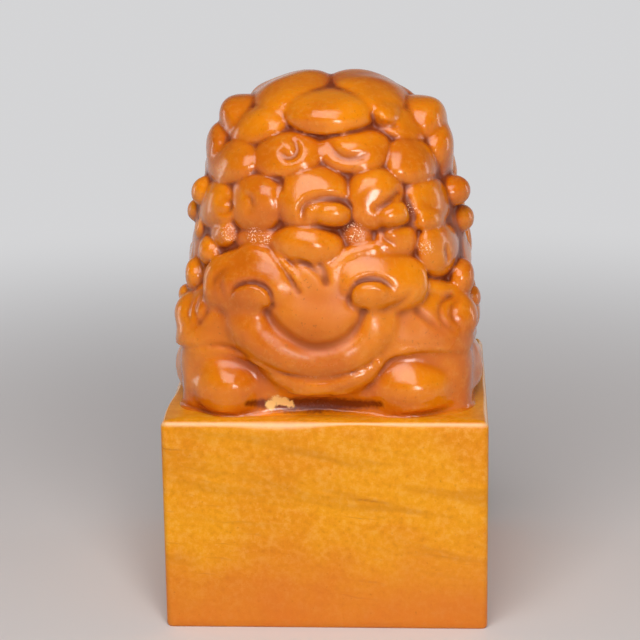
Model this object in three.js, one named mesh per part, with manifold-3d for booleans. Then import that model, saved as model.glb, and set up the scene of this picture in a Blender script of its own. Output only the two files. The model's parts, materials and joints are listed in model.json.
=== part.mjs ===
// A carved stone seal: a square block with a relief-cut printing face below and a crouching
// guardian beast as its knob. Millimetres, +Z up, +X to the viewer's right, the beast looks along -Y.
// The origin is the middle of the printing face. The real seal is cut from one stone, so each mesh here
// is one of the carver's forms, parted from its neighbours by the width of a cut line.
import * as THREE from "three";
import { mergeVertices } from "three/addons/utils/BufferGeometryUtils.js";
import Module from "manifold-3d";

const wasm = await Module();
wasm.setup();

// Block
const BLOCK_WIDTH = 35;
const BLOCK_DEPTH = 35;
const BLOCK_HEIGHT = 23.4;
const BLOCK_CORNER = 0.7; // radius of the four upright edges
const SHOULDER_WEAR = 0.7; // bevel of the worn top edges

// Printing face: a raised rim round a raised square fret
const FACE_THICKNESS = 2.2;
const RELIEF_DEPTH = 0.9;
const RIM_WIDTH = 1.6;
const FRET_BAR = 1.5;
const FRET_GAP = 1.7;

const CUT_LINE = 0.3; // width of the cut that parts two carved forms
const EDGE_LEDGE = 0.35; // how far the beast stays inside the block's sides

// Head. A set back or an inset is how far a form lies inside the block's face on that side.
const HEAD_INSET = 1.1;
const HEAD_SET_BACK = 2.2;
const HEAD_HEIGHT = 20.4;
const HEAD_DEPTH = 12.6;
const FACE_SHIFT = -1.1; // the face is carved a little to the left of the block's middle

// Features of the face. A rise is how far a form stands out of the head or mane that carries it.
const NOSE_WIDTH = 9.2;
const NOSE_HEIGHT = 6.6;
const NOSE_RISE = 2;
const NOSE_LEVEL = 10.9;
const BRIDGE_WIDTH = 4.4;
const EYE_SPACING = 13.2;
const EYE_LEVEL = 13.2;
const EYE_WIDTH = 4.7;
const EYE_HEIGHT = 2.8;
const EYE_RISE = 1.2;
const BROW_REACH = 3.3; // from the eye's middle to the middle of the brow's band
const BROW_THICKNESS = 3.8;
const BROW_RISE = 1.3;
const LIP_THICKNESS = 3.5;
const LIP_RISE = 1.3;
const LIP_TO_NOSE = 0.8; // how far the upper lip's ends stand clear of the nose, each side
const LIP_CORNER_RISE = 4.6; // from the upper lip's lowest point to its ends
const LOWER_LIP_THICKNESS = 2.4;
const LOWER_LIP_RISE = 0.9;
const LOWER_LIP_WIDTH = 15;
const MOUTH_LEVEL = 4.6; // the slit's lowest point, above the block
const MOUTH_WIDTH = 29; // the slit runs on across both cheeks
const MOUTH_CORNER_RISE = 3;
const MOUTH_SLIT = 0.9;
const EAR_LEVEL = 9.4;
const EAR_WIDTH = 5;
const EAR_HEIGHT = 5.8;
const EAR_RISE = 1.2;
const EAR_BEARING = 73; // degrees from straight ahead, seen from the head's middle
const FOREHEAD_CURL_WIDTH = 8.2;
const FOREHEAD_CURL_HEIGHT = 5.8;
const FOREHEAD_CURL_RISE = 2.6;
const FOREHEAD_CURL_PROUD = 0.6; // how far the curl stands above the head's top edge
const TEMPLE_CURL_HEIGHT = 4.2;
const TEMPLE_CURL_DROP = 1.2; // from the head's top edge to the curls' middles

// Mane
const MANE_HEIGHT = 33.4;
const MANE_FOOT = 8.5;
const MANE_INSET = 2.3;
const MANE_SET_BACK = 5.1;
const MANE_REAR_SET_BACK = 3.7;
const CURL_HEIGHT = 7.3;
const CURL_RISE = 2.3;
const CURL_GROOVE = 0.8; // depth of the groove that winds into each curl

// Body and limbs
const BODY_INSET = 4;
const BODY_HEIGHT = 17.6;
const BODY_SET_BACK = 9.5;
const BODY_REAR_SET_BACK = 2.3;
const PAW_WIDTH = 8.4;
const PAW_HEIGHT = 6;
const PAW_LENGTH = 7.2;
const PAW_SPACING = 19.2;
const PAW_SET_BACK = 1.4; // from the block's front face
const PAW_SHIFT = -0.9; // the paws lie to the left with the face
const FORELEG_THICKNESS = 5;
const FORELEG_LENGTH = 12;
const HAUNCH_WIDTH = 9.4;
const HAUNCH_LENGTH = 13.6;
const HAUNCH_HEIGHT = 12.6;
const HAUNCH_SET_BACK = 2.2; // from the block's rear face
const HIND_PAW_WIDTH = 6.2;
const HIND_PAW_LENGTH = 8.6;
const HIND_PAW_HEIGHT = 3.8;
const TAIL_THICKNESS = 6;
const TAIL_HEIGHT = 17;
const TAIL_RISE = 1.9;
const TAIL_SPREAD = 26; // degrees between the middle lock and the locks beside it

// Facets
const SECTION_SIDES = 18; // round the head, mane and body
const SECTION_POWER = 2.5; // 2 is an ellipse, more is squarer
const HEAD_LEVELS = 8;
const MANE_LEVELS = 7;
const BODY_LEVELS = 5;
const BALL_SIDES = 10;
const FINE_BALL_SIDES = 14; // the nose and eyes, which draw the look
const BAR_SIDES = 8;
const CURL_SIDES = 9;
const CURL_TURNS = 5; // turns of the strip of points over each curl
const CORNER_STEPS = 1; // half the facets of each rounded upright edge of the block

const stone = new THREE.MeshStandardMaterial({ color: 0xd8790f, roughness: 0.28, metalness: 0 });
const curlStone = new THREE.MeshStandardMaterial({ color: 0xe08614, roughness: 0.24, metalness: 0 });
const faceStone = new THREE.MeshStandardMaterial({ color: 0xb5551d, roughness: 0.55, metalness: 0 });

const { degToRad, clamp } = THREE.MathUtils;
const point = (x, y, z) => new THREE.Vector3(x, y, z);
const UP = point(0, 0, 1);

// Solids

function solidOf(geometry) {
  const bare = geometry.clone();
  bare.deleteAttribute("normal");
  bare.deleteAttribute("uv");
  const merged = mergeVertices(bare, 1e-4);
  const index = merged.index.array;
  const faces = [];
  for (let i = 0; i < index.length; i += 3) {
    const [a, b, c] = [index[i], index[i + 1], index[i + 2]];
    if (a !== b && b !== c && c !== a) faces.push(a, b, c);
  }
  return new wasm.Manifold(
    new wasm.Mesh({
      numProp: 3,
      vertProperties: new Float32Array(merged.attributes.position.array),
      triVerts: new Uint32Array(faces),
    }),
  );
}

function geometryOf(solid) {
  const mesh = solid.getMesh();
  const geometry = new THREE.BufferGeometry();
  geometry.setAttribute("position", new THREE.BufferAttribute(mesh.vertProperties, mesh.numProp));
  geometry.setIndex(new THREE.BufferAttribute(mesh.triVerts, 1));
  geometry.computeVertexNormals();
  return geometry;
}

function surface(points, faces) {
  const geometry = new THREE.BufferGeometry().setFromPoints(points);
  geometry.setIndex(faces);
  return solidOf(geometry);
}

const joined = (solids) => solids.reduce((all, next) => all.add(next));

// A cut can leave a sliver on the far side of a neighbour: only the form itself is kept.
function largestBody(solid) {
  const bodies = solid.decompose();
  return bodies.reduce((best, next) => (next.volume() > best.volume() ? next : best));
}

function boxSolid(low, high) {
  const size = high.clone().sub(low);
  const middle = high.clone().add(low).divideScalar(2);
  return solidOf(new THREE.BoxGeometry(size.x, size.y, size.z).translate(middle.x, middle.y, middle.z));
}

// A closed skin over rings of points that all have the same count, with a point at each end.
function skinOver(rings, firstPoint, lastPoint) {
  const sides = rings[0].length;
  const points = [firstPoint, ...rings.flat(), lastPoint];
  const last = points.length - 1;
  const at = (ring, side) => 1 + ring * sides + (side % sides);
  const faces = [];
  for (let side = 0; side < sides; side++) {
    faces.push(0, at(0, side + 1), at(0, side));
    faces.push(last, at(rings.length - 1, side), at(rings.length - 1, side + 1));
    for (let ring = 0; ring + 1 < rings.length; ring++) {
      faces.push(at(ring, side), at(ring, side + 1), at(ring + 1, side));
      faces.push(at(ring, side + 1), at(ring + 1, side + 1), at(ring + 1, side));
    }
  }
  return surface(points, faces);
}

function ellipsoid(centre, width, length, height, sides = BALL_SIDES) {
  const RINGS_PER_SIDE = 0.6;
  const ball = new THREE.SphereGeometry(0.5, sides, Math.round(sides * RINGS_PER_SIDE));
  ball.rotateX(Math.PI / 2);
  ball.scale(width, length, height);
  return solidOf(ball.translate(centre.x, centre.y, centre.z));
}

// A ball that rests on the block: its top is at its height, and sink is the share of the height below it.
function restingBall({ x, y, width, length, height, sink }, grow) {
  const whole = height * (1 + sink);
  const centre = point(x, y, height - whole / 2);
  return ellipsoid(centre, width + 2 * grow, length + 2 * grow, whole + 2 * grow);
}

// A round bar along a smooth curve. Its thickness follows the same curve's points, and its ends are round.
function taperedBar(points, thicknesses, steps, sides = BAR_SIDES) {
  const END_ROUND = [0.55, 0.9]; // where the rings of a round end lie, as shares of its radius
  const curve = new THREE.CatmullRomCurve3(points, false, "centripetal");
  const radii = new THREE.SplineCurve(thicknesses.map((t, i) => new THREE.Vector2(i, t / 2)));
  const frames = curve.computeFrenetFrames(steps);
  const rings = [];
  const addRing = (step, radius, along) => {
    const middle = curve.getPointAt(step / steps).addScaledVector(frames.tangents[step], along);
    rings.push(
      Array.from({ length: sides }, (_, side) => {
        const angle = (2 * Math.PI * side) / sides;
        return middle
          .clone()
          .addScaledVector(frames.normals[step], radius * Math.cos(angle))
          .addScaledVector(frames.binormals[step], radius * Math.sin(angle));
      }),
    );
  };
  const first = radii.getPoint(0).y;
  const last = radii.getPoint(1).y;
  [...END_ROUND].reverse().forEach((s) => addRing(0, first * Math.sqrt(1 - s * s), -first * s));
  for (let step = 0; step <= steps; step++) addRing(step, radii.getPoint(step / steps).y, 0);
  END_ROUND.forEach((s) => addRing(steps, last * Math.sqrt(1 - s * s), last * s));
  return skinOver(
    rings,
    curve.getPoint(0).addScaledVector(frames.tangents[0], -first),
    curve.getPoint(1).addScaledVector(frames.tangents[steps], last),
  );
}

// Masses: the head, mane and body are lofts of squared ovals. A station holds a height and then the
// section's width, front and back, each as a share of the mass's own size.
class Mass {
  constructor({ foot, height, width, front, back, stations }) {
    Object.assign(this, { foot, height, width, front, back, stations });
  }

  shares(z) {
    const share = clamp((z - this.foot) / (this.height - this.foot), 0, 1);
    const last = this.stations.length - 1;
    let i = 0;
    while (i < last - 1 && share > this.stations[i + 1][0]) i++;
    const t = (share - this.stations[i][0]) / (this.stations[i + 1][0] - this.stations[i][0]);
    const near = [i - 1, i, i + 1, i + 2].map((k) => this.stations[clamp(k, 0, last)]);
    return [1, 2, 3].map((column) => {
      const [before, from, to, after] = near.map((station) => station[column]);
      const slopeIn = (to - before) / 2;
      const slopeOut = (after - from) / 2;
      const square = 3 * (to - from) - 2 * slopeIn - slopeOut;
      const cube = slopeIn + slopeOut - 2 * (to - from);
      return from + slopeIn * t + square * t ** 2 + cube * t ** 3;
    });
  }

  section(z) {
    const [width, front, back] = this.shares(z);
    const frontY = -this.front * front;
    const backY = this.back * back;
    return {
      halfWidth: (this.width / 2) * width,
      halfDepth: (backY - frontY) / 2,
      middle: (backY + frontY) / 2,
    };
  }

  // Below 1 inside the mass and above 1 outside it.
  reach({ x, y, z }) {
    const s = this.section(z);
    const across = Math.abs(x / s.halfWidth) ** SECTION_POWER;
    return across + Math.abs((y - s.middle) / s.halfDepth) ** SECTION_POWER;
  }

  // The skin at a height and a bearing in degrees: 0 is straight ahead and 90 the viewer's right.
  skin(bearing, z) {
    const s = this.section(z);
    const x = Math.sin(degToRad(bearing));
    const y = -Math.cos(degToRad(bearing));
    const across = Math.abs(x / s.halfWidth) ** SECTION_POWER;
    const along = Math.abs(y / s.halfDepth) ** SECTION_POWER;
    const distance = (across + along) ** (-1 / SECTION_POWER);
    return point(x * distance, s.middle + y * distance, z);
  }

  // The skin of the front, at a distance across and a height.
  face(x, z) {
    const WIDEST = 0.98; // share of the half width past which the front has turned into the side
    const s = this.section(z);
    const share = clamp(Math.abs(x / s.halfWidth), 0, WIDEST);
    return point(x, s.middle - s.halfDepth * (1 - share ** SECTION_POWER) ** (1 / SECTION_POWER), z);
  }

  outward(spot) {
    const STEP = 0.5;
    const reachAt = (axis, step) => this.reach(spot.clone().addScaledVector(axis, step));
    const slope = (axis) => reachAt(axis, STEP) - reachAt(axis, -STEP);
    return point(slope(point(1, 0, 0)), slope(point(0, 1, 0)), slope(UP)).normalize();
  }

  solid(levels, grow) {
    const TOP_RING = 0.985; // share of the height at which the last ring lies, just under the crown
    const rings = [];
    for (let level = 0; level <= levels; level++) {
      // The rings draw closer towards the crown, where the skin turns over.
      const share = TOP_RING * Math.sin(((level / levels) * Math.PI) / 2);
      const z = this.foot + (this.height - this.foot) * share;
      const s = this.section(z);
      const squared = (value) => Math.sign(value) * Math.abs(value) ** (2 / SECTION_POWER);
      rings.push(
        Array.from({ length: SECTION_SIDES }, (_, side) => {
          const angle = (2 * Math.PI * side) / SECTION_SIDES;
          return point(
            (s.halfWidth + grow) * squared(Math.cos(angle)),
            s.middle + (s.halfDepth + grow) * squared(Math.sin(angle)),
            level === 0 ? z - grow : z + grow * share,
          );
        }),
      );
    }
    return skinOver(
      rings,
      point(0, this.section(this.foot).middle, this.foot - grow),
      point(0, this.section(this.height).middle, this.height + grow),
    );
  }
}

const cheeksFront = BLOCK_DEPTH / 2 - HEAD_SET_BACK;

const head = new Mass({
  foot: 0,
  height: HEAD_HEIGHT,
  width: BLOCK_WIDTH - 2 * HEAD_INSET,
  front: cheeksFront,
  back: HEAD_DEPTH - cheeksFront,
  stations: [
    [0, 0.84, 0.76, 1],
    [0.12, 0.9, 0.88, 1],
    [0.25, 0.96, 0.975, 1],
    [0.4, 1, 1, 1],
    [0.55, 0.985, 0.99, 1],
    [0.7, 0.915, 0.975, 1],
    [0.84, 0.83, 0.935, 1],
    [1, 0.7, 0.8, 1],
  ],
});

const mane = new Mass({
  foot: MANE_FOOT,
  height: MANE_HEIGHT,
  width: BLOCK_WIDTH - 2 * MANE_INSET,
  front: BLOCK_DEPTH / 2 - MANE_SET_BACK,
  back: BLOCK_DEPTH / 2 - MANE_REAR_SET_BACK,
  stations: [
    [0, 1, 0.97, 1],
    [0.22, 1, 0.99, 1],
    [0.42, 0.935, 0.98, 0.985],
    [0.6, 0.875, 0.9, 0.91],
    [0.76, 0.79, 0.71, 0.77],
    [0.9, 0.66, 0.42, 0.56],
    [1, 0.42, 0.12, 0.32],
  ],
});

const body = new Mass({
  foot: 0,
  height: BODY_HEIGHT,
  width: BLOCK_WIDTH - 2 * BODY_INSET,
  front: BLOCK_DEPTH / 2 - BODY_SET_BACK,
  back: BLOCK_DEPTH / 2 - BODY_REAR_SET_BACK,
  stations: [
    [0, 0.95, 1, 0.92],
    [0.25, 1, 1, 0.99],
    [0.5, 1, 1, 1],
    [0.75, 0.94, 0.9, 0.95],
    [0.92, 0.8, 0.7, 0.82],
    [1, 0.6, 0.4, 0.62],
  ],
});

// Curls. A curl is a plump oval cushion on a skin, with a groove that winds in like a snail shell. Its skin
// is one spiral strip of points, so that the groove runs along the strip. turn is 1 or -1, the hand of the
// spiral, and lean is the bearing in degrees at which the groove starts, from the curl's own right.
function curlSolid({ carrier, spot, width, height, rise, turn, lean }, grow) {
  const FOOTING = 1.6; // how far the curl reaches below the skin before it is cut to its seat
  const GROOVE_TURN = 2.6; // the groove is deepest this many turns from the strip's start in the middle
  const GROOVE_REACH = 0.75; // turns over which it fades out, each way
  const EYE_SHIFT = 0.12; // how far the spiral's middle lies off the oval's, as a share of its width
  const SHALLOWEST = 0.6; // on a low curl the groove is at most this share of the rise
  const SHOULDER = 2.6; // how flat the cushion's top is
  const EDGE = 0.6; // how steeply the cushion falls at its rim
  const outward = carrier.outward(spot);
  const across = UP.clone().cross(outward).normalize();
  const upward = outward.clone().cross(across);
  const place = (u, v, w) =>
    spot.clone().addScaledVector(across, u).addScaledVector(upward, v).addScaledVector(outward, w);
  const points = [];
  const turns = grow === 0 ? CURL_TURNS : CURL_TURNS - 1; // the skin that cuts a neighbour is plainer
  const lastRing = turns - 1;
  for (let step = 0; step <= CURL_SIDES * turns; step++) {
    const ring = step / CURL_SIDES;
    const share = Math.min(1, ring / lastRing);
    const angle = degToRad(lean) + (turn * 2 * Math.PI * step) / CURL_SIDES;
    const fade = Math.sqrt(clamp(1 - Math.abs(ring - GROOVE_TURN) / GROOVE_REACH, 0, 1));
    const groove = grow === 0 ? Math.min(CURL_GROOVE, rise * SHALLOWEST) * fade : 0;
    const plump = (rise + grow) * (1 - share ** SHOULDER) ** EDGE;
    const shift = EYE_SHIFT * width * (1 - share);
    points.push(
      place(
        (width / 2 + grow) * share * Math.cos(angle) + shift * Math.cos(degToRad(lean)),
        (height / 2 + grow) * share * Math.sin(angle) + shift * Math.sin(degToRad(lean)),
        plump - groove,
      ),
    );
  }
  const faces = [];
  const face = (a, b, c) => (turn > 0 ? faces.push(a, b, c) : faces.push(a, c, b));
  for (let side = 1; side < CURL_SIDES; side++) face(0, side, side + 1);
  for (let step = 0; step < CURL_SIDES * lastRing; step++) {
    face(step, step + CURL_SIDES, step + CURL_SIDES + 1);
    face(step, step + CURL_SIDES + 1, step + 1);
  }
  const rim = CURL_SIDES * lastRing;
  const base = points.length;
  for (let side = 0; side < CURL_SIDES; side++) {
    const angle = degToRad(lean) + (turn * 2 * Math.PI * side) / CURL_SIDES;
    points.push(
      place((width / 2 + grow) * Math.cos(angle), (height / 2 + grow) * Math.sin(angle), -FOOTING - grow),
    );
  }
  points.push(place(0, 0, -FOOTING - grow));
  for (let side = 0; side < CURL_SIDES; side++) {
    const next = (side + 1) % CURL_SIDES;
    face(rim + side, base + side, base + next);
    face(rim + side, base + next, rim + side + 1);
    face(points.length - 1, base + next, base + side);
  }
  return surface(points, faces);
}

// Rows of the mane from the crown down. at is the row's share of the way from the head's top to the mane's
// top, and tall its curls' height over CURL_HEIGHT. A curl holds its bearing, the span of bearings that it
// covers, its hand and its lean, and on the sides and back, where the rows are longer, how far it hangs
// below its row, over CURL_HEIGHT.
const MANE_ROWS = [
  {
    at: 0.909,
    tall: 1.28,
    curls: [
      [-47, 128, 1, 200],
      [58, 150, -1, 340],
      [-138, 119, -1, 20],
      [132, 133, 1, 160],
    ],
  },
  {
    at: 0.742,
    tall: 1.06,
    curls: [
      [2, 69, -1, 60],
      [-46, 46, 1, 250],
      [46, 49, -1, 300],
      [-86, 52, 1, 240],
      [86, 52, -1, 300],
      [-150, 74, 1, 240, 0.14],
      [150, 74, -1, 300, 0.14],
    ],
  },
  {
    at: 0.485,
    tall: 1.03,
    curls: [
      [-20, 44, -1, 60],
      [18, 44, 1, 230],
      [-46, 33, 1, 250],
      [44, 35, -1, 300],
      [-80, 44, 1, 240, 0.09],
      [80, 44, -1, 300, 0.09],
      [-122, 57, 1, 240, 0.23],
      [122, 57, -1, 300, 0.23],
      [180, 49, 1, 250, 0.31],
    ],
  },
  {
    at: 0.197,
    tall: 1,
    curls: [
      [-4, 42, 1, 300],
      [24, 33, 1, 320],
      [-28, 31, -1, 220],
      [44, 27, 1, 320],
      [-47, 26, -1, 220],
      [-72, 34, 1, 240],
      [72, 34, -1, 300],
      [-100, 43, 1, 240, 0.31],
      [100, 43, -1, 300, 0.31],
      [-147, 54, 1, 250, 0.43],
      [147, 54, -1, 290, 0.43],
    ],
  },
  {
    at: -0.106,
    tall: 0.94,
    curls: [
      [-62, 24, 1, 240],
      [-82, 46, 1, 240, 0.51],
      [82, 46, -1, 300, 0.51],
      [-128, 48, 1, 240, 0.6],
      [128, 48, -1, 300, 0.6],
    ],
  },
];

// The front of the lowest row: small curls along the head's top edge, beside the forehead curl. A curl holds
// its place across the face and its width, both over FOREHEAD_CURL_WIDTH, its hand and its lean.
const TEMPLE_CURLS = [
  [-0.7, 0.52, -1, 240],
  [1.08, 0.62, -1, 300],
  [-1.15, 0.54, 1, 240],
  [1.63, 0.58, -1, 300],
];

// Forms. Each is a function of how much it is grown, which is how it cuts its neighbours.

const eyeSpot = (side) => point(FACE_SHIFT + (side * EYE_SPACING) / 2, 0, EYE_LEVEL);
const raised = (carrier, x, z, rise, thickness) => {
  const spot = carrier.face(x, z);
  return spot.addScaledVector(carrier.outward(spot), rise - thickness / 2);
};

function nose(grow) {
  const BRIDGE_TAPER = 0.8; // the bridge's width between the brows, as a share of its width at the bulb
  const bulb = raised(head, FACE_SHIFT, NOSE_LEVEL, NOSE_RISE, NOSE_HEIGHT);
  const bridgeTop = raised(head, FACE_SHIFT, EYE_LEVEL + EYE_HEIGHT, BROW_RISE, BRIDGE_WIDTH);
  const [width, height] = [NOSE_WIDTH + 2 * grow, NOSE_HEIGHT + 2 * grow];
  return joined([
    ellipsoid(bulb, width, height, height, FINE_BALL_SIDES),
    taperedBar([bulb, bridgeTop], [BRIDGE_WIDTH + 2 * grow, BRIDGE_WIDTH * BRIDGE_TAPER + 2 * grow], 3),
  ]);
}

// The upper lip hangs under the nose as a smile, from one cheek to the other.
function upperLip(grow) {
  const TAPER = 0.4; // share of its thickness that the lip loses at its ends
  const thickness = LIP_THICKNESS + 2 * grow;
  const reach = (NOSE_WIDTH + LIP_THICKNESS) / 2 + LIP_TO_NOSE;
  const lowest = NOSE_LEVEL - (NOSE_HEIGHT + LIP_THICKNESS) / 2;
  const shares = [-1, -0.78, -0.42, 0, 0.42, 0.78, 1];
  const spots = shares.map((share) => {
    const z = lowest + LIP_CORNER_RISE * share ** 2;
    return raised(head, FACE_SHIFT + share * reach, z, LIP_RISE, LIP_THICKNESS);
  });
  return taperedBar(spots, shares.map((share) => thickness * (1 - TAPER * share ** 2)), 10);
}

// The height of the mouth's slit, which rises from under the nose and levels out on the cheeks.
function mouthLevel(x) {
  const LEVELS_OUT = 2 / 3; // share of the half width at which the slit stops rising
  const share = Math.abs((2 * (x - FACE_SHIFT)) / MOUTH_WIDTH);
  const climb = Math.sin((Math.PI / 2) * Math.min(1, share / LEVELS_OUT)) ** 2;
  return MOUTH_LEVEL + MOUTH_CORNER_RISE * climb;
}

function lowerLip(grow) {
  const TAPER = 0.5;
  const shares = [-1, -0.6, 0, 0.6, 1];
  const thicknesses = shares.map((share) => LOWER_LIP_THICKNESS * (1 - TAPER * share ** 2));
  const spots = shares.map((share, i) => {
    const x = FACE_SHIFT + (share * LOWER_LIP_WIDTH) / 2;
    return raised(head, x, mouthLevel(x) - thicknesses[i] / 2, LOWER_LIP_RISE, thicknesses[i]);
  });
  return taperedBar(spots, thicknesses.map((thickness) => thickness + 2 * grow), 8, 6);
}

function mouthSlit() {
  const TAPER = 0.4;
  const SLIT_SIDES = 4;
  const shares = [-1, -0.7, -0.4, 0, 0.4, 0.7, 1];
  const spots = shares.map((share) => {
    const x = FACE_SHIFT * (1 - Math.abs(share)) + (share * MOUTH_WIDTH) / 2;
    return raised(head, x, mouthLevel(x), 0, 0);
  });
  const widths = shares.map((share) => MOUTH_SLIT * (1 - TAPER * Math.abs(share)));
  return taperedBar(spots, widths, 9, SLIT_SIDES);
}

// The brow starts beside the nose, arches over the eye, and winds in under it.
function brow(side, grow) {
  const START = 8; // degrees, seen from the eye's middle: 0 points at the nose and 90 straight up
  const SWEEP = 262;
  const BENDS = 8;
  const OPEN = 1.18; // the band's distance from the eye where it starts, as a share of its reach
  const WIND = 0.42; // how much of that reach it loses as it winds in
  const FLATTEN = 1.15; // the arch is this much wider than it is tall
  const TIP = 0.4; // the band's thickness at its ends, as a share of its fullest
  const FULLEST = 0.8; // below 1, the band is fullest before its middle
  const spots = [];
  const thicknesses = [];
  for (let bend = 0; bend <= BENDS; bend++) {
    const share = bend / BENDS;
    const angle = degToRad(START + SWEEP * share);
    const reach = BROW_REACH * (OPEN - WIND * share);
    const x = eyeSpot(side).x - side * reach * FLATTEN * Math.cos(angle);
    const z = eyeSpot(side).z + reach * Math.sin(angle);
    const fullness = TIP + (1 - TIP) * Math.sin(Math.PI * share ** FULLEST);
    spots.push(raised(head, x, z, BROW_RISE * fullness, BROW_THICKNESS * fullness));
    thicknesses.push(BROW_THICKNESS * fullness + 2 * grow);
  }
  return taperedBar(spots, thicknesses, 12);
}

function eye(side, grow) {
  const at = raised(head, eyeSpot(side).x, EYE_LEVEL, EYE_RISE, EYE_HEIGHT);
  const [width, height] = [EYE_WIDTH + 2 * grow, EYE_HEIGHT + 2 * grow];
  return ellipsoid(at, width, height, height, FINE_BALL_SIDES);
}

const foreheadCurl = {
  carrier: head,
  spot: head.face(FACE_SHIFT, HEAD_HEIGHT - FOREHEAD_CURL_HEIGHT / 2 + FOREHEAD_CURL_PROUD),
  width: FOREHEAD_CURL_WIDTH,
  height: FOREHEAD_CURL_HEIGHT,
  rise: FOREHEAD_CURL_RISE,
  turn: 1,
  lean: 285,
};

const ear = (side) => ({
  carrier: head,
  spot: head.skin(side * EAR_BEARING, EAR_LEVEL),
  width: EAR_WIDTH,
  height: EAR_HEIGHT,
  rise: EAR_RISE,
  turn: -side,
  lean: 90 + side * 50,
});

const PAW_SINK = 0.16; // a paw's ball reaches this share of its height into the block, so it rests broadly
const HAUNCH_SINK = 0.04;
const PAW_FRONT = PAW_SET_BACK - BLOCK_DEPTH / 2;

// The foreleg lies along the block: a round paw under the cheek and a forearm running back from it.
function foreleg(side, grow) {
  const WRIST = 0.4; // share of the foreleg's length at which it bends out to the block's edge
  const ELBOW_LIFT = 0.62; // height of the elbow's middle, as a share of the thickness
  const AT_PAW = 0.9; // the forearm is a little thinner where it leaves the paw
  const x = PAW_SHIFT + (side * PAW_SPACING) / 2;
  const y = PAW_FRONT + PAW_LENGTH / 2;
  const paw = { x, y, width: PAW_WIDTH, length: PAW_LENGTH, height: PAW_HEIGHT, sink: PAW_SINK };
  const z = (PAW_HEIGHT * (1 - PAW_SINK)) / 2;
  const outer = side * (BLOCK_WIDTH / 2 - EDGE_LEDGE - FORELEG_THICKNESS / 2);
  const wrist = point((x + outer) / 2, y + FORELEG_LENGTH * WRIST, z);
  const elbow = point(outer, y + FORELEG_LENGTH, FORELEG_THICKNESS * ELBOW_LIFT);
  const thickness = FORELEG_THICKNESS + 2 * grow;
  return joined([
    restingBall(paw, grow),
    taperedBar([point(x, y, z), wrist, elbow], [thickness * AT_PAW, thickness, thickness], 5),
  ]);
}

function hindLeg(side, grow) {
  const outer = BLOCK_WIDTH / 2 - EDGE_LEDGE;
  const haunch = {
    x: side * (outer - HAUNCH_WIDTH / 2),
    y: BLOCK_DEPTH / 2 - HAUNCH_SET_BACK - HAUNCH_LENGTH / 2,
    width: HAUNCH_WIDTH,
    length: HAUNCH_LENGTH,
    height: HAUNCH_HEIGHT,
    sink: HAUNCH_SINK,
  };
  const paw = {
    x: side * (outer - HIND_PAW_WIDTH / 2),
    y: haunch.y - HAUNCH_LENGTH / 2,
    width: HIND_PAW_WIDTH,
    length: HIND_PAW_LENGTH,
    height: HIND_PAW_HEIGHT,
    sink: PAW_SINK,
  };
  return joined([restingBall(haunch, grow), restingBall(paw, grow)]);
}

// The tail lies up the rump and spreads into three locks. A lock's points hold how far it has spread, how
// high it lies and how thick it is there, as shares of its spread, the tail's height and its thickness.
function tail(grow) {
  const LOCK_SIDES = 7;
  const MIDDLE_TOP = 0.94;
  const SIDE_TOP = 0.76;
  const on = (bearing, level) => {
    const spot = body.skin(bearing, level);
    return spot.addScaledVector(body.outward(spot), TAIL_RISE - TAIL_THICKNESS / 2);
  };
  const lock = (spread, top) => {
    const along = [
      [0, 0.14, 0.8],
      [0.2, 0.4, 1],
      [0.7, top - 0.14, 0.85],
      [1.3, top, 0.4],
    ];
    const spots = along.map(([out, level]) => on(180 + spread * out, TAIL_HEIGHT * level));
    const thicknesses = along.map(([, , thickness]) => TAIL_THICKNESS * thickness + 2 * grow);
    return taperedBar(spots, thicknesses, 5, LOCK_SIDES);
  };
  return joined([lock(0, MIDDLE_TOP), lock(TAIL_SPREAD, SIDE_TOP), lock(-TAIL_SPREAD, SIDE_TOP)]);
}

const SIDES = { left: -1, right: 1 };
const headForm = (grow) => head.solid(HEAD_LEVELS, grow);
const maneForm = (grow) => mane.solid(MANE_LEVELS, grow);
const bodyForm = (grow) => body.solid(BODY_LEVELS, grow);

const half = { x: BLOCK_WIDTH / 2 - EDGE_LEDGE, y: BLOCK_DEPTH / 2 - EDGE_LEDGE };
const ledge = boxSolid(point(-half.x, -half.y, 0), point(half.x, half.y, 2 * MANE_HEIGHT));

// A form is cut along the forms that lie over it, flat where it meets the block, and square to the ledge.
const knob = new THREE.Group();
knob.position.z = BLOCK_HEIGHT;

function carve(name, form, under, material = stone) {
  const cut = under.reduce((left, neighbour) => left.subtract(neighbour(CUT_LINE)), form(0));
  const mesh = new THREE.Mesh(geometryOf(largestBody(cut.intersect(ledge))), material);
  mesh.name = name;
  knob.add(mesh);
  return form;
}

const bothSides = (form) => Object.values(SIDES).map((side) => (grow) => form(side, grow));
const forelegs = bothSides(foreleg);
const hindLegs = bothSides(hindLeg);
const brows = bothSides(brow);
const eyes = bothSides(eye);
const ears = bothSides((side, grow) => curlSolid(ear(side), grow));
const forehead = (grow) => curlSolid(foreheadCurl, grow);

carve("head", (grow) => headForm(grow).subtract(mouthSlit()), forelegs);
carve("trunk", bodyForm, [headForm, ...forelegs, ...hindLegs]);
carve("mane_core", maneForm, [headForm, bodyForm, ...hindLegs]);
carve("tail", tail, [bodyForm, maneForm, ...hindLegs]);
carve("nose", nose, [headForm]);
carve("upper_lip", upperLip, [headForm, nose, ...brows]);
carve("lower_lip", lowerLip, [headForm, upperLip, ...forelegs]);
carve("forehead_curl", forehead, [headForm, maneForm, nose], curlStone);
Object.keys(SIDES).forEach((side, i) => {
  carve(side + "_foreleg", forelegs[i], [hindLegs[i]]);
  carve(side + "_hind_leg", hindLegs[i], []);
  carve(side + "_brow", brows[i], [headForm, nose, forehead]);
  carve(side + "_eye", eyes[i], [headForm, nose, brows[i]]);
  carve(side + "_ear", ears[i], [headForm, brows[i]], curlStone);
});

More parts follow.
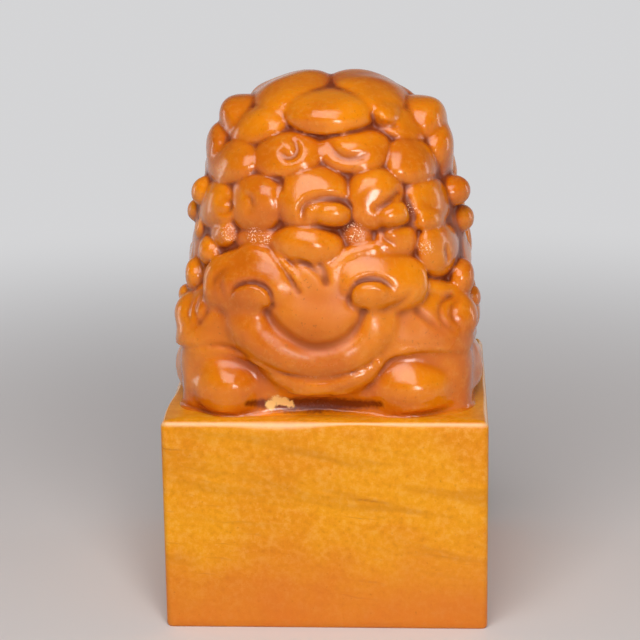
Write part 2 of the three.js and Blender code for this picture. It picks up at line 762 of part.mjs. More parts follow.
function maneCurl({ at, tall }, [bearing, span, turn, lean, drop = 0]) {
  const STRETCH = 0.8; // share of its drop by which a curl that hangs below its row is taller
  const level = HEAD_HEIGHT + (MANE_HEIGHT - HEAD_HEIGHT) * at - CURL_HEIGHT * drop;
  const [from, spot, to] = [-0.5, 0, 0.5].map((share) => mane.skin(bearing + span * share, level));
  const height = CURL_HEIGHT * (tall + drop * STRETCH);
  return { carrier: mane, spot, width: from.distanceTo(to), height, rise: CURL_RISE, turn, lean };
}

function templeCurl([across, share, turn, lean]) {
  const spot = head.face(FACE_SHIFT + FOREHEAD_CURL_WIDTH * across, HEAD_HEIGHT - TEMPLE_CURL_DROP);
  const width = FOREHEAD_CURL_WIDTH * share;
  return { carrier: head, spot, width, height: TEMPLE_CURL_HEIGHT, rise: FOREHEAD_CURL_RISE, turn, lean };
}

const rows = MANE_ROWS.map((row) => row.curls.map((curl) => maneCurl(row, curl)));
rows.at(-1).unshift(...TEMPLE_CURLS.map(templeCurl));

const placed = [];
rows.forEach((curls, row) => {
  curls.forEach((curl, i) => {
    const { spot, width } = curl;
    const form = (grow) => curlSolid(curl, grow);
    const touches = (other) => other.spot.distanceTo(spot) < (width + other.width) / 2 + CURL_RISE;
    const near = placed.filter(touches);
    const over = [maneForm, headForm, bodyForm, forehead, ...brows, ...ears, ...hindLegs, tail];
    carve(`mane_curl_${row + 1}_${i + 1}`, form, [...over, ...near.map((other) => other.form)], curlStone);
    placed.push({ spot, width, form });
  });
});

// The block, and under it the printing face: a rim, and a square fret that winds in from it.
function roundedSquare(inset) {
  const x = BLOCK_WIDTH / 2 - inset;
  const y = BLOCK_DEPTH / 2 - inset;
  const r = BLOCK_CORNER;
  const outline = new THREE.Shape();
  outline.absarc(x - r, y - r, r, 0, Math.PI / 2);
  outline.absarc(r - x, y - r, r, Math.PI / 2, Math.PI);
  outline.absarc(r - x, r - y, r, Math.PI, 1.5 * Math.PI);
  outline.absarc(x - r, r - y, r, 1.5 * Math.PI, 2 * Math.PI);
  return outline;
}

function sealBlock() {
  const WEAR_STEPS = 3;
  const rings = [];
  const ring = (inset, z) => {
    const outline = roundedSquare(inset).getPoints(CORNER_STEPS);
    rings.push(outline.map(({ x, y }) => point(x, y, z)));
  };
  ring(0, FACE_THICKNESS);
  for (let step = 0; step <= WEAR_STEPS; step++) {
    const angle = ((step / WEAR_STEPS) * Math.PI) / 2;
    ring(SHOULDER_WEAR * (1 - Math.cos(angle)), BLOCK_HEIGHT - SHOULDER_WEAR * (1 - Math.sin(angle)));
  }
  return skinOver(rings, point(0, 0, FACE_THICKNESS), point(0, 0, BLOCK_HEIGHT));
}

function sealFace() {
  const options = { depth: FACE_THICKNESS, bevelEnabled: false, curveSegments: CORNER_STEPS };
  const slab = solidOf(new THREE.ExtrudeGeometry(roundedSquare(0), options));
  const field = { x: BLOCK_WIDTH / 2 - RIM_WIDTH, y: BLOCK_DEPTH / 2 - RIM_WIDTH };
  const pocket = boxSolid(point(-field.x, -field.y, -RELIEF_DEPTH), point(field.x, field.y, RELIEF_DEPTH));
  const pitch = FRET_BAR + FRET_GAP;
  const outer = { x: field.x - FRET_GAP - FRET_BAR / 2, y: field.y - FRET_GAP - FRET_BAR / 2 };
  const corners = [point(-outer.x, -field.y, 0)];
  for (let inset = 0; Math.min(outer.x, outer.y) - inset > pitch; inset += pitch) {
    const [x, y] = [outer.x - inset, outer.y - inset];
    corners.push(point(-x, y, 0), point(x, y, 0), point(x, -y, 0), point(pitch - x, -y, 0));
  }
  const bars = corners.slice(1).map((corner, i) => {
    const low = corner.clone().min(corners[i]).subScalar(FRET_BAR / 2).setZ(0);
    const high = corner.clone().max(corners[i]).addScalar(FRET_BAR / 2).setZ(RELIEF_DEPTH + CUT_LINE);
    return boxSolid(low, high);
  });
  return joined([slab.subtract(pocket), ...bars]);
}

const root = new THREE.Group();
for (const [name, solid, material] of [
  ["seal_block", sealBlock(), stone],
  ["seal_face", sealFace(), faceStone],
]) {
  const mesh = new THREE.Mesh(geometryOf(solid), material);
  mesh.name = name;
  root.add(mesh);
}
root.add(knob);

export default root;
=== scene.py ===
# %% [markdown]
# # A stone seal with a guardian-beast knob
#
# The object is a square seal for signing calligraphy. A carver cuts its upper half into a crouching beast, polishes
# the carving until it shines, and leaves the block below it satin. We dress the measured CAD model, which fixes every
# size.
#
# The whole seal is one stone, so the beast becomes one continuous skin. The script first loads the CAD model as its
# frame.

# %% Load the frame
import json
import math

import bmesh
import bpy
import numpy as np
from mathutils import Matrix, Vector

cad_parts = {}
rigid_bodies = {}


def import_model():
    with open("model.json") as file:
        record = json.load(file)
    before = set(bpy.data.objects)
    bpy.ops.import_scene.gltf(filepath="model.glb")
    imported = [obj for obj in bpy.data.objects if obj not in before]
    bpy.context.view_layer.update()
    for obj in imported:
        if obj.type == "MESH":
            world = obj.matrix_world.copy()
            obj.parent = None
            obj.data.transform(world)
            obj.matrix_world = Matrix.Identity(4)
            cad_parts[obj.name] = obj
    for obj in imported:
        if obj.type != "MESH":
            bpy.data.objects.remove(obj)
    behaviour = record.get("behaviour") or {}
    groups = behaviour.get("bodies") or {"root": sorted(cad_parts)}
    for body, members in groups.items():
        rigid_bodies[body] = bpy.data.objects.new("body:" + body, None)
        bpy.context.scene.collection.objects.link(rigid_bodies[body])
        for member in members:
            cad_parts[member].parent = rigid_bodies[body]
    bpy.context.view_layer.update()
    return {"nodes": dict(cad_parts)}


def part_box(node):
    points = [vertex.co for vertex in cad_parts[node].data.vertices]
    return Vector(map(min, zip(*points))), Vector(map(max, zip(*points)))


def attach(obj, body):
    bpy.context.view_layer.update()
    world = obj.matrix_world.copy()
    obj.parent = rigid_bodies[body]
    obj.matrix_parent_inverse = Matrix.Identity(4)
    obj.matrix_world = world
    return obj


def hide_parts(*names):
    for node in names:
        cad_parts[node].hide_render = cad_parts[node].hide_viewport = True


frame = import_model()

MM = 0.001
_, block_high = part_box("seal_block")
BLOCK_TOP = block_high.z / MM
BLOCK_HALF = block_high.x / MM
BLOCK_LIFT = np.array([0, 0, BLOCK_TOP])
print("CAD nodes:", len(frame["nodes"]), " block top at", round(BLOCK_TOP, 2), "mm")

# %% [markdown]
# ## The camera
#
# The photo was taken from a little above and almost straight on. We could turn the camera by eye until the picture
# matches, but its place can be solved once from the block's corners. It is given in millimetres from the middle of the
# block's foot. A long lens keeps the block's edges nearly parallel.

# %% Camera
EYE = np.array([11.866, -233.028, 90.625])
AZIMUTH, ELEVATION, ROLL = (math.radians(angle) for angle in (3.2146, 14.5307, -0.7668))
IMAGE_SIZE = 640
FOCAL_PIXELS = 2126.86
SENSOR_WIDTH = 36.0

backward = Vector((math.sin(AZIMUTH) * math.cos(ELEVATION), -math.cos(AZIMUTH) * math.cos(ELEVATION),
                   math.sin(ELEVATION)))
level_right = Vector((math.cos(AZIMUTH), math.sin(AZIMUTH), 0))
level_up = backward.cross(level_right)
image_right = level_right * math.cos(ROLL) + level_up * math.sin(ROLL)
image_up = level_up * math.cos(ROLL) - level_right * math.sin(ROLL)

camera_data = bpy.data.cameras.new("photo_camera")
camera_data.sensor_width = SENSOR_WIDTH
camera_data.lens = FOCAL_PIXELS * SENSOR_WIDTH / IMAGE_SIZE
camera_data.clip_start = 0.01
camera = bpy.data.objects.new("photo_camera", camera_data)
bpy.context.collection.objects.link(camera)
turn = Matrix((image_right, image_up, backward)).transposed()
camera.matrix_world = Matrix.Translation(Vector(EYE) * MM) @ turn.to_4x4()
bpy.context.scene.camera = camera
print("lens", round(camera_data.lens, 1), "mm")

# %% [markdown]
# ## Sight lines
#
# A straight line runs from the camera through each pixel of the photo. Forms of the front could be placed in
# millimetres by trial. Instead we read their pixels and follow the sight lines to the clay, so each lies where the
# photo shows it.

# %% Sight lines
RIGHTWARD, UPWARD, BACKWARD = (np.array(way) for way in (image_right, image_up, backward))


def sight_lines(pixels):
    """The unit directions in which the camera sees some pixels of the photo."""
    across = (np.array(pixels, float) - IMAGE_SIZE / 2) / FOCAL_PIXELS
    lines = across[:, :1] * RIGHTWARD - across[:, 1:] * UPWARD - BACKWARD
    return lines / np.linalg.norm(lines, axis=1)[:, None]


print("the middle pixel is seen along", np.round(sight_lines([(IMAGE_SIZE / 2, IMAGE_SIZE / 2)])[0], 3))

# %% [markdown]
# ## Joining two forms
#
# A carved stone has no parts: its forms run into each other with soft hollows. We could join meshes with booleans, but
# their seams stay sharp. Instead each form is told by the distance from any point to its skin, negative inside the
# stone. The smaller of two distances joins two forms, and rounding that choice leaves a soft hollow between them.

# %% Joining two forms
def soft_smaller(a, b, blend):
    """The smaller of two distances, with a rounded hollow as wide as blend where they meet."""
    near = np.maximum(blend - np.abs(a - b), 0) / blend
    return np.minimum(a, b) - near * near * blend / 4


def soft_larger(a, b, blend):
    """The larger of two distances, with its edge rounded."""
    return -soft_smaller(-a, -b, blend)


print("a blend of 1 mm fills the corner between two forms by", -float(soft_smaller(0.0, 0.0, 1.0)), "mm")

# %% [markdown]
# ## Clay made of numbers
#
# The distances are kept on a grid, as a block of clay. A finer step shows finer cuts but takes longer, and its skin
# has more faces. At the end the skin is drawn where the distance is nought.

# %% The clay
STEP = 0.28
CLAY_LOW = np.array([-17.7, -17.7, -0.9])
CLAY_HIGH = np.array([17.7, 17.7, 36.0])
FAR = 6.0
SIGHT_STEP = 0.15
SIGHT_DEPTHS = np.arange(205.0, 262.0, SIGHT_STEP)


class Clay:
    """A grid of distances to the beast's skin, in millimetres above the block."""

    def __init__(self, low, counts, step):
        self.low = low
        self.step = step
        self.counts = np.array(counts)
        self.distance = np.full(counts, FAR, np.float32)

    def window(self, low, high):
        """The part of the grid between two corners, and its points' x, y and z."""
        first = np.clip(np.floor((np.array(low) - self.low) / self.step).astype(int), 0, self.counts - 2)
        last = np.clip(np.ceil((np.array(high) - self.low) / self.step).astype(int) + 1, first + 2, self.counts)
        part = tuple(slice(a, b) for a, b in zip(first, last))
        axes = [self.low[i] + self.step * np.arange(first[i], last[i]) for i in range(3)]
        return part, np.stack(np.meshgrid(*axes, indexing="ij"), -1).astype(np.float32)

    def sample(self, points, field=None):
        """The distance at some points, read between the grid's own."""
        field = self.distance if field is None else field
        place = np.clip((points - self.low) / self.step, 0, self.counts - 1.001)
        corner = np.floor(place).astype(int)
        share = place - corner
        total = np.zeros(len(points))
        for step in np.ndindex(2, 2, 2):
            weight = np.abs(1 - np.array(step) - share)
            total += weight[:, 0] * weight[:, 1] * weight[:, 2] * field[tuple((corner + step).T)]
        return total

    def outward(self, points, field=None, reach=0.6):
        """The unit directions that lead straight out of the skin."""
        slope = np.zeros((len(points), 3))
        for axis, offset in enumerate(np.eye(3) * reach):
            slope[:, axis] = self.sample(points + offset, field) - self.sample(points - offset, field)
        return slope / np.maximum(np.linalg.norm(slope, axis=1), 1e-6)[:, None]

    def drop(self, pixels, proud=0.0, field=None):
        """Where the photo's sight lines first come within proud of the skin, and the outward directions there."""
        start = EYE - BLOCK_LIFT
        found = []
        for line in sight_lines(pixels):
            distances = self.sample(start + SIGHT_DEPTHS[:, None] * line, field) - proud
            inside = np.nonzero(distances < 0)[0]
            hit = inside[0] if len(inside) else int(np.argmin(distances))
            before, after = distances[max(hit - 1, 0)], distances[hit]
            share = before / (before - after) if before > 0 > after else 1.0
            found.append(start + (SIGHT_DEPTHS[max(hit - 1, 0)] + share * SIGHT_STEP) * line)
        found = np.array(found)
        return found, self.outward(found, field)


clay = Clay(CLAY_LOW, np.ceil((CLAY_HIGH - CLAY_LOW) / STEP).astype(int) + 1, STEP)
_, grid_points = clay.window(CLAY_LOW, CLAY_HIGH)
print("clay grid", clay.counts.tolist(), "at a step of", STEP, "mm")

# %% [markdown]
# ## The pebble
#
# Curls, paws and the nose are plump rounds set square to the skin. A squashed ball makes them, and a squareness above
# 2 fills its outline towards a rectangle. It works only in a window around itself, so the whole beast takes seconds.

# %% Pebble
MARGIN = 1.8


def squashed_distance(offset, radii):
    """The distance to an ellipsoid of these radii, good near its skin."""
    ratio = np.sqrt(((offset / radii) ** 2).sum(-1))
    slope = np.sqrt(((offset / np.square(radii)) ** 2).sum(-1))
    return ratio * (ratio - 1) / np.maximum(slope, 1e-4)


def pebble(centre, axes, radii, blend, squareness=2.0, hollow=False):
    """Adds a squashed ball, or scoops one out. The rows of axes are its directions."""
    radii = np.array(radii, float)
    reach = np.sqrt(((axes * radii[:, None]) ** 2).sum(0)) + MARGIN
    part, points = clay.window(centre - reach, centre + reach)
    offset = (points - np.array(centre, float)) @ axes.T
    if squareness != 2:
        flat = np.abs(offset[..., :2] / radii[:2])
        swollen = np.maximum((flat ** squareness).sum(-1), 1e-6) ** (1 / squareness)
        offset[..., :2] *= (swollen / np.maximum(np.sqrt((flat ** 2).sum(-1)), 1e-4))[..., None]
    distance = squashed_distance(offset, radii)
    if hollow:
        clay.distance[part] = soft_larger(clay.distance[part], -distance, blend)
    else:
        clay.distance[part] = soft_smaller(clay.distance[part], distance, blend)


sample = squashed_distance(np.array([4.0, 0, 0]), np.array([2.0, 3.0, 4.0]))
print("4 mm from the middle of a pebble with a radius of 2 mm is", float(sample), "mm out")

# %% [markdown]
# ## Lines through the clay
#
# Brows, lips and grooves follow a line. A carver sketches it with a few marks, and the hand makes it flow. Here a
# curve that passes through every mark does so, and each grid point asks for the nearest spot on it.

# %% Lines
def smooth_line(points, steps=6):
    """A finer line that passes through the given points without corners."""
    points = np.array(points, float)
    if len(points) < 3:
        return points
    padded = np.vstack([2 * points[0] - points[1], points, 2 * points[-1] - points[-2]])
    fine = []
    for i in range(1, len(padded) - 2):
        p0, p1, p2, p3 = padded[i - 1:i + 3]
        for share in np.arange(steps) / steps:
            fine.append(0.5 * (2 * p1 + (p2 - p0) * share + (2 * p0 - 5 * p1 + 4 * p2 - p3) * share ** 2
                               + (3 * p1 - p0 - 3 * p2 + p3) * share ** 3))
    return np.array(fine + [points[-1]])


def spread(values, count):
    """One value for each of count spots, from a number or from a few values along the line."""
    values = np.atleast_1d(np.array(values, float))
    return np.interp(np.linspace(0, 1, count), np.linspace(0, 1, len(values)), values)


def along(line, values, points):
    """For each point, its offset and distance from the nearest spot of a line, and the values there."""
    best = np.full(points.shape[:-1], 1e9, np.float32)
    offset = np.zeros_like(points)
    carried = np.zeros(points.shape[:-1] + (values.shape[1],), np.float32)
    for a, b, value_a, value_b in zip(line[:-1], line[1:], values[:-1], values[1:]):
        edge = b - a
        share = np.clip(((points - a) @ edge) / max(edge @ edge, 1e-9), 0, 1)[..., None]
        away = points - a - share * edge
        square = (away ** 2).sum(-1)
        closer = square < best
        best = np.where(closer, square, best)
        offset = np.where(closer[..., None], away, offset)
        carried = np.where(closer[..., None], value_a + share * (value_b - value_a), carried)
    return offset, np.sqrt(best), carried


print("three marks become", len(smooth_line([(0, 0), (1, 1), (2, 0)])), "points")

# %% [markdown]
# ## The strap and the stylus
#
# A strap is a rounded band along a line: a brow, a lip or a foreleg. A stylus presses a groove along a line, or raises
# a thin ridge. Tubes joined by booleans could do both, but would meet the skin in hard seams.

# %% Strap and stylus
def strap(line, normals, half_widths, half_heights, blend):
    """Adds a rounded band along a line. Its width lies in the skin and its height stands out of it."""
    half_widths = spread(half_widths, len(line))
    half_heights = spread(half_heights, len(line))
    reach = max(half_widths.max(), half_heights.max()) + MARGIN
    part, points = clay.window(line.min(0) - reach, line.max(0) + reach)
    offset, _, carried = along(line, np.column_stack([normals, half_widths, half_heights]), points)
    normal = carried[..., :3] / np.maximum(np.linalg.norm(carried[..., :3], axis=-1), 1e-6)[..., None]
    out = (offset * normal).sum(-1)
    flat = np.sqrt(np.maximum((offset ** 2).sum(-1) - out ** 2, 0))
    distance = squashed_distance(np.stack([flat, out], -1), carried[..., 3:5])
    clay.distance[part] = soft_smaller(clay.distance[part], distance, blend)


def stylus(line, depths, half_width):
    """Presses a groove along a line where depths are positive, and raises a ridge where they are negative."""
    reach = 3 * half_width + 0.3
    part, points = clay.window(line.min(0) - reach, line.max(0) + reach)
    _, away, carried = along(line, spread(depths, len(line))[:, None], points)
    clay.distance[part] += carried[..., 0] * np.exp(-(away / half_width) ** 2)


print("strap and stylus ready; a form's window is", MARGIN, "mm wider than the form")

# %% [markdown]
# ## The lump under the mane
#
# Before any detail the carver blocks out a dome with a squared plan. The CAD model has it as mane_core. Here it is a
# stack of squared ovals: at each height a half-width, a front and a back. Squares of the half-widths are what we
# interpolate, because the square of a dome's width falls evenly to nought at its top.

# %% Dome
SKIN_STATIONS = np.array([
    # height, half-width, front, back
    [-2.0, 14.5, -12.6, 14.0],
    [10.0, 14.6, -12.7, 14.1],
    [14.0, 14.5, -12.7, 14.1],
    [19.0, 13.4, -12.4, 13.6],
    [23.5, 12.3, -10.9, 12.4],
    [27.5, 10.8, -8.7, 10.4],
    [31.0, 7.9, -6.2, 7.0],
    [32.5, 4.8, -3.5, 4.2],
    [33.2, 0.3, 0.0, 0.6],
])
DOME_SQUARENESS = 2.7
DOME_RUB = 1.3
DOME_SPARE = 6.0
DOME_PASSES = 6


def stacked_ovals(stations, squareness):
    """Distances to a stack of squared ovals, over the whole grid."""
    z = np.arange(clay.low[2] - DOME_SPARE, CLAY_HIGH[2] + DOME_SPARE, clay.step)
    level, half_width, front, back = stations.T
    squared = np.interp(z, level, half_width ** 2)
    fall = (half_width[-1] ** 2 - half_width[-3] ** 2) / (level[-1] - level[-3])
    squared += fall * np.maximum(z - level[-1], 0)
    depth_share = np.interp(z, level[:-1], ((back - front) / 2 / half_width)[:-1])
    middle = np.interp(z, level, (back + front) / 2)
    reach = int(3 * DOME_RUB / clay.step)
    bell = np.exp(-np.square(np.arange(-reach, reach + 1) * clay.step / DOME_RUB) / 2)
    first = int(round(DOME_SPARE / clay.step))
    squared, depth_share, middle = (np.convolve(row, bell / bell.sum(), "same")[first:first + clay.counts[2]]
                                    for row in (squared, depth_share, middle))
    x = np.abs(grid_points[..., 0])
    y = np.abs(grid_points[..., 1] - middle) / depth_share
    size = (x ** squareness + y ** squareness) ** (2 / squareness) - squared
    steepness = np.sqrt(sum(part ** 2 for part in np.gradient(size, clay.step)))
    return np.clip(size / np.maximum(steepness, 1.0), -FAR, FAR).astype(np.float32)


def soften(field, passes):
    """Rubs a field smooth by averaging each point with its neighbours."""
    for _ in range(passes):
        for axis in range(3):
            padded = np.concatenate([np.take(field, [0], axis), field, np.take(field, [-1], axis)], axis)
            low = np.take(padded, np.arange(field.shape[axis]), axis)
            high = np.take(padded, np.arange(2, field.shape[axis] + 2), axis)
            field = (low + 2 * field + high) / 4
    return field


clay.distance = soften(stacked_ovals(SKIN_STATIONS, DOME_SQUARENESS), DOME_PASSES)
dome = clay.distance.copy()
print("dome blocked out, highest", SKIN_STATIONS[-1, 0], "mm")

# %% [markdown]
# ## The mask
#
# The face is a broad mask that leans against the dome. Its cheeks overhang the paws: the mouth line, which dips in the
# middle, is its lower edge. It could be lofted through outlines. We make squared pillows, which need few numbers, and
# cut away what lies under that line.

# %% Mask and what lies under it
# Middle, half sizes and squareness of each pillow.
MASK = (-0.2, -6.8, 4.6), (16.5, 8.6, 10.2), 3.4
BROW_LUMP = (-0.4, -6.6, 10.0), (12.6, 8.3, 8.9), 3.0
CHEST = (0.0, -8.0, 2.0), (15.9, 6.95, 9.5), 4.0
TRUNK = (0.0, 4.4, 1.0), (13.6, 10.6, 11.5), 3.2
# Places along the mouth line, across and up.
MOUTH_LINE = [(-17.0, 6.5), (-13.0, 7.6), (-9.6, 7.6), (-6.4, 6.1), (-3.4, 4.7), (-0.2, 4.3), (2.1, 4.8), (5.9, 6.0),
              (7.6, 6.8), (11.2, 7.2), (16.5, 6.4)]


def pillow(middle, half, squareness):
    """Distances to a box with soft, swollen sides, over the whole grid."""
    size = ((np.abs(grid_points - np.array(middle)) / half) ** squareness).sum(-1) ** (1 / squareness) - 1
    steepness = np.sqrt(sum(part ** 2 for part in np.gradient(size, clay.step)))
    return np.clip(size / np.maximum(steepness, 0.03), -FAR, FAR).astype(np.float32)


mask = soft_smaller(pillow(*MASK), pillow(*BROW_LUMP), 1.5)
mouth_x, mouth_z = smooth_line(MOUTH_LINE).T
mask = soft_larger(mask, np.interp(grid_points[..., 0], mouth_x, mouth_z) - grid_points[..., 2], 0.5)
for form, blend in ((mask, 1.0), (pillow(*CHEST), 0.4), (pillow(*TRUNK), 1.2)):
    clay.distance = soft_smaller(clay.distance, form, blend)
blocked = clay.distance.copy()
print("mask and body blocked out; the mouth dips to", round(float(mouth_z.min()), 2), "mm")

# %% [markdown]
# ## Placing a form
#
# Each curl is a pebble whose middle lies near the dome, turned to lie in its skin, with a groove that winds towards
# the middle like a snail's shell. One tool sets a pebble where the photo shows it, as wide and high as it looks there.
# It allows for the slope of the skin, which shortens what the camera sees.

# %% Placing a form
SMALLEST_SQUARE = 0.3
STEEPEST_SHARE = 0.35
GROOVE_RIM = 0.86
GROOVE_MARKS = 28


def frame_on_skin(normal, across, slant=0.0):
    """Three directions for a form on the skin: along it, up it and out of it."""
    u = across - normal * (across @ normal)
    u /= np.linalg.norm(u)
    v = np.cross(normal, u)
    angle = math.radians(slant)
    return np.array([u * math.cos(angle) + v * math.sin(angle), v * math.cos(angle) - u * math.sin(angle), normal])


def seen_pebble(pixel, width, height, rise, slant, blend, sunk, squareness=2.0, field=None):
    """Adds a pebble that covers the given width and height of the photo, in pixels."""
    middle, normal = (found[0] for found in clay.drop([pixel], proud=-sunk, field=field))
    axes = frame_on_skin(normal, RIGHTWARD, slant)
    pixels_per_mm = FOCAL_PIXELS / np.linalg.norm(middle + BLOCK_LIFT - EYE)
    angle = math.radians(slant)
    seen_u = RIGHTWARD * math.cos(angle) + UPWARD * math.sin(angle)
    seen_v = UPWARD * math.cos(angle) - RIGHTWARD * math.sin(angle)
    radii = []
    for half, seen, own in ((width / 2, seen_u, axes[0]), (height / 2, seen_v, axes[1])):
        flat = (half / pixels_per_mm) ** 2 - (rise * (seen @ normal)) ** 2
        radii.append(math.sqrt(max(flat, SMALLEST_SQUARE)) / max(abs(seen @ own), STEEPEST_SHARE))
    pebble(middle, axes, radii + [rise], blend, squareness)


def snail_groove(middle, axes, radii, turns, start, inward, depth, clockwise, half_width):
    """Presses a groove that winds in over a pebble, from near its rim to the share inward of its radii."""
    line = []
    for share in np.linspace(0, 1, GROOVE_MARKS):
        size = GROOVE_RIM - (GROOVE_RIM - inward) * share
        a = math.radians(start) + (-1 if clockwise else 1) * turns * 2 * math.pi * share
        local = (size * math.cos(a), size * math.sin(a), math.sqrt(max(1 - size * size, 0)))
        line.append(middle + (np.array(local) * radii) @ axes)
    stylus(np.array(line), [0.15, depth, depth, depth * 0.8], half_width)


print("the camera looks down by", round(math.degrees(math.asin(BACKWARD[2])), 1), "degrees")

# %% [markdown]
# ## Curls that the photo doesn't show
#
# The mane is rows of snail-shell curls all round. Those at the sides and back could be copied from the front, but the
# CAD model already says where each lies and how large it is, so we read that and carve there.

# %% Curls that the photo doesn't show
TURNED_TO_CAMERA = 0.36
HIDDEN_RISE = 2.6
HIDDEN_GROWTH = 1.13
LOW_SIDE_SUNK, HIDDEN_SUNK = 1.2, 0.8
LOW_SIDE_FROM, LOW_SIDE_BELOW = 13, 20
CURL_BLEND = 0.12

hidden_curls = 0
for name, node in sorted(frame["nodes"].items()):
    if not name.startswith("mane_curl"):
        continue
    corners = np.array([vertex.co[:] for vertex in node.data.vertices]) / MM - BLOCK_LIFT
    middle = (corners.min(0) + corners.max(0)) / 2
    normal = clay.outward(middle[None], dome)[0]
    if normal @ BACKWARD > TURNED_TO_CAMERA:
        continue
    middle = middle - normal * clay.sample(middle[None], dome)[0]
    axes = frame_on_skin(normal, np.cross([0, 0, 1.0], normal))
    spans = np.abs((corners - middle) @ axes.T).max(0)
    radii = [spans[0] * HIDDEN_GROWTH, spans[1] * HIDDEN_GROWTH, HIDDEN_RISE]
    on_left = middle[0] < 0
    low_at_side = abs(middle[0]) > LOW_SIDE_FROM and middle[2] < LOW_SIDE_BELOW
    middle = middle - (LOW_SIDE_SUNK if low_at_side else HIDDEN_SUNK) * axes[2]
    pebble(middle, axes, radii, CURL_BLEND)
    snail_groove(middle, axes, radii, turns=1.35, start=200 if on_left else -20, inward=0.2, depth=0.5,
                 clockwise=on_left, half_width=0.32)
    hidden_curls += 1
print("curls placed by their CAD nodes:", hidden_curls)

# %% [markdown]
# ## Curls that face the camera
#
# These tile the dome like scales: their round backs meet in thin creases, with no ground between. Loose pebbles would
# leave gaps there. So each grid point asks where the camera sees it, reads from the list below how high the nearest
# curl swells at that pixel, and the dome grows by the highest of those swellings.

# %% Curls that face the camera
SEEN_CURLS = {
    # middle across and down, length, breadth, slant in degrees, rise in millimetres
    "crown_left": ((290, 93), 74, 48, 26, 2.3),
    "crown_right": ((372, 92), 74, 48, -26, 2.3),
    "crown_corner_left": ((234, 116), 50, 30, 58, 2.0),
    "crown_corner_right": ((429, 116), 50, 30, -57, 2.0),
    "second_middle": ((328, 112), 80, 42, -1, 3.1),
    "second_left": ((259, 125), 62, 38, 22, 2.3),
    "second_right": ((403, 123), 66, 34, -28, 2.1),
    "second_right_ball": ((387, 113), 30, 26, -20, 2.5),
    "third_edge_left": ((213, 160), 44, 18, 80, 1.7),
    "third_edge_right": ((443, 158), 44, 18, -80, 1.8),
    "third_left": ((234, 162), 52, 40, 30, 2.5),
    "third_right": ((411, 162), 50, 44, -15, 2.6),
    "third_mid_left": ((287, 156), 68, 46, 8, 2.6),
    "third_mid_right": ((355, 152), 68, 44, 0, 2.5),
    "fourth_edge_left": ((218, 204), 46, 36, 90, 2.4),
    "fourth_edge_right": ((425, 203), 50, 44, 90, 2.4),
    "fourth_edge_right_lobe": ((429, 218), 30, 26, 0, 2.7),
    "fourth_left": ((256, 201), 54, 52, 90, 2.6),
    "fourth_middle": ((312, 197), 72, 60, 0, 2.8),
    "fourth_middle_lobe": ((331, 213), 38, 26, 0, 3.1),
    "fourth_right": ((375, 197), 58, 56, 90, 2.7),
    "fourth_right_lobe": ((393, 214), 34, 25, 8, 3.0),
    "fifth_edge_left": ((223, 233), 26, 24, 90, 2.2),
    "fifth_left": ((257, 239), 44, 30, 0, 1.7),
    "fifth_middle": ((358, 234), 34, 30, 0, 1.6),
    "fifth_right": ((398, 242), 42, 38, 0, 2.2),
    "fifth_ball_right": ((437, 249), 48, 37, 90, 2.7),
}
OVERLAP = 1.32
GROUND = 1.15
CURL_SQUARENESS = 2.2
CURL_ROUNDNESS = 1.35
TURNED_AWAY, TURNED_RANGE = -0.3, 0.4


def seen_at(points):
    """The pixels at which the camera sees some points of the beast, across and down."""
    away = points + BLOCK_LIFT - EYE
    depth = -(away @ BACKWARD)
    across = IMAGE_SIZE / 2 + FOCAL_PIXELS * (away @ RIGHTWARD) / depth
    down = IMAGE_SIZE / 2 - FOCAL_PIXELS * (away @ UPWARD) / depth
    return across, down


across, down = seen_at(grid_points)
swell = np.full_like(across, GROUND)
for (u, v), length, breadth, slant, rise in SEEN_CURLS.values():
    cos, sin = math.cos(math.radians(slant)), math.sin(math.radians(slant))
    lengthwise = np.abs((across - u) * cos - (down - v) * sin) / (length / 2 * OVERLAP)
    breadthwise = np.abs((across - u) * sin + (down - v) * cos) / (breadth / 2 * OVERLAP)
    size = (lengthwise ** CURL_SQUARENESS + breadthwise ** CURL_SQUARENESS) ** (2 / CURL_SQUARENESS)
    swell = soft_larger(swell, rise * np.sqrt(np.maximum(1 - size ** CURL_ROUNDNESS, 0)), CURL_BLEND)
slope = np.gradient(dome, STEP)
towards = sum(part * way for part, way in zip(slope, backward))
facing = np.clip((towards - TURNED_AWAY) / TURNED_RANGE, 0, 1)
clay.distance = soft_smaller(clay.distance, dome - swell * facing, 0.15).astype(np.float32)
print("curls placed by the photo:", len(SEEN_CURLS), " highest swelling", round(float(swell.max()), 2), "mm")

# %% [markdown]
# ## Haunches and legs
#
# The photo shows nothing of the beast's rear, so it follows the CAD model: round haunches at the rear corners, hind
# paws under them, and forearms that lie along the block's edges. One list of places serves both sides, because they
# mirror.

# %% Haunches and legs
LEVEL = np.eye(3)
HAUNCH, HAUNCH_RADII = (11.9, 9.0, 6.2), (5.1, 6.1, 6.5)
HIND_PAW, HIND_PAW_RADII = (13.7, 1.3, 1.6), (3.2, 4.1, 2.3)
FOREARM = [(13.2, -10.0, 2.8), (14.4, -5.5, 3.5), (14.6, -1.0, 3.3)]
TOE_GAP, TOE_SPLAY, KNUCKLE_GAP = 1.3, 0.3, 1.2
TOE_ROOT, KNUCKLE = (-3.2, 1.4), (-1.6, 3.2)


def mirrored(side, place):
    """A place of the right side, or with side at -1 its mirror on the left."""
    return np.array(place) * (side, 1, 1)


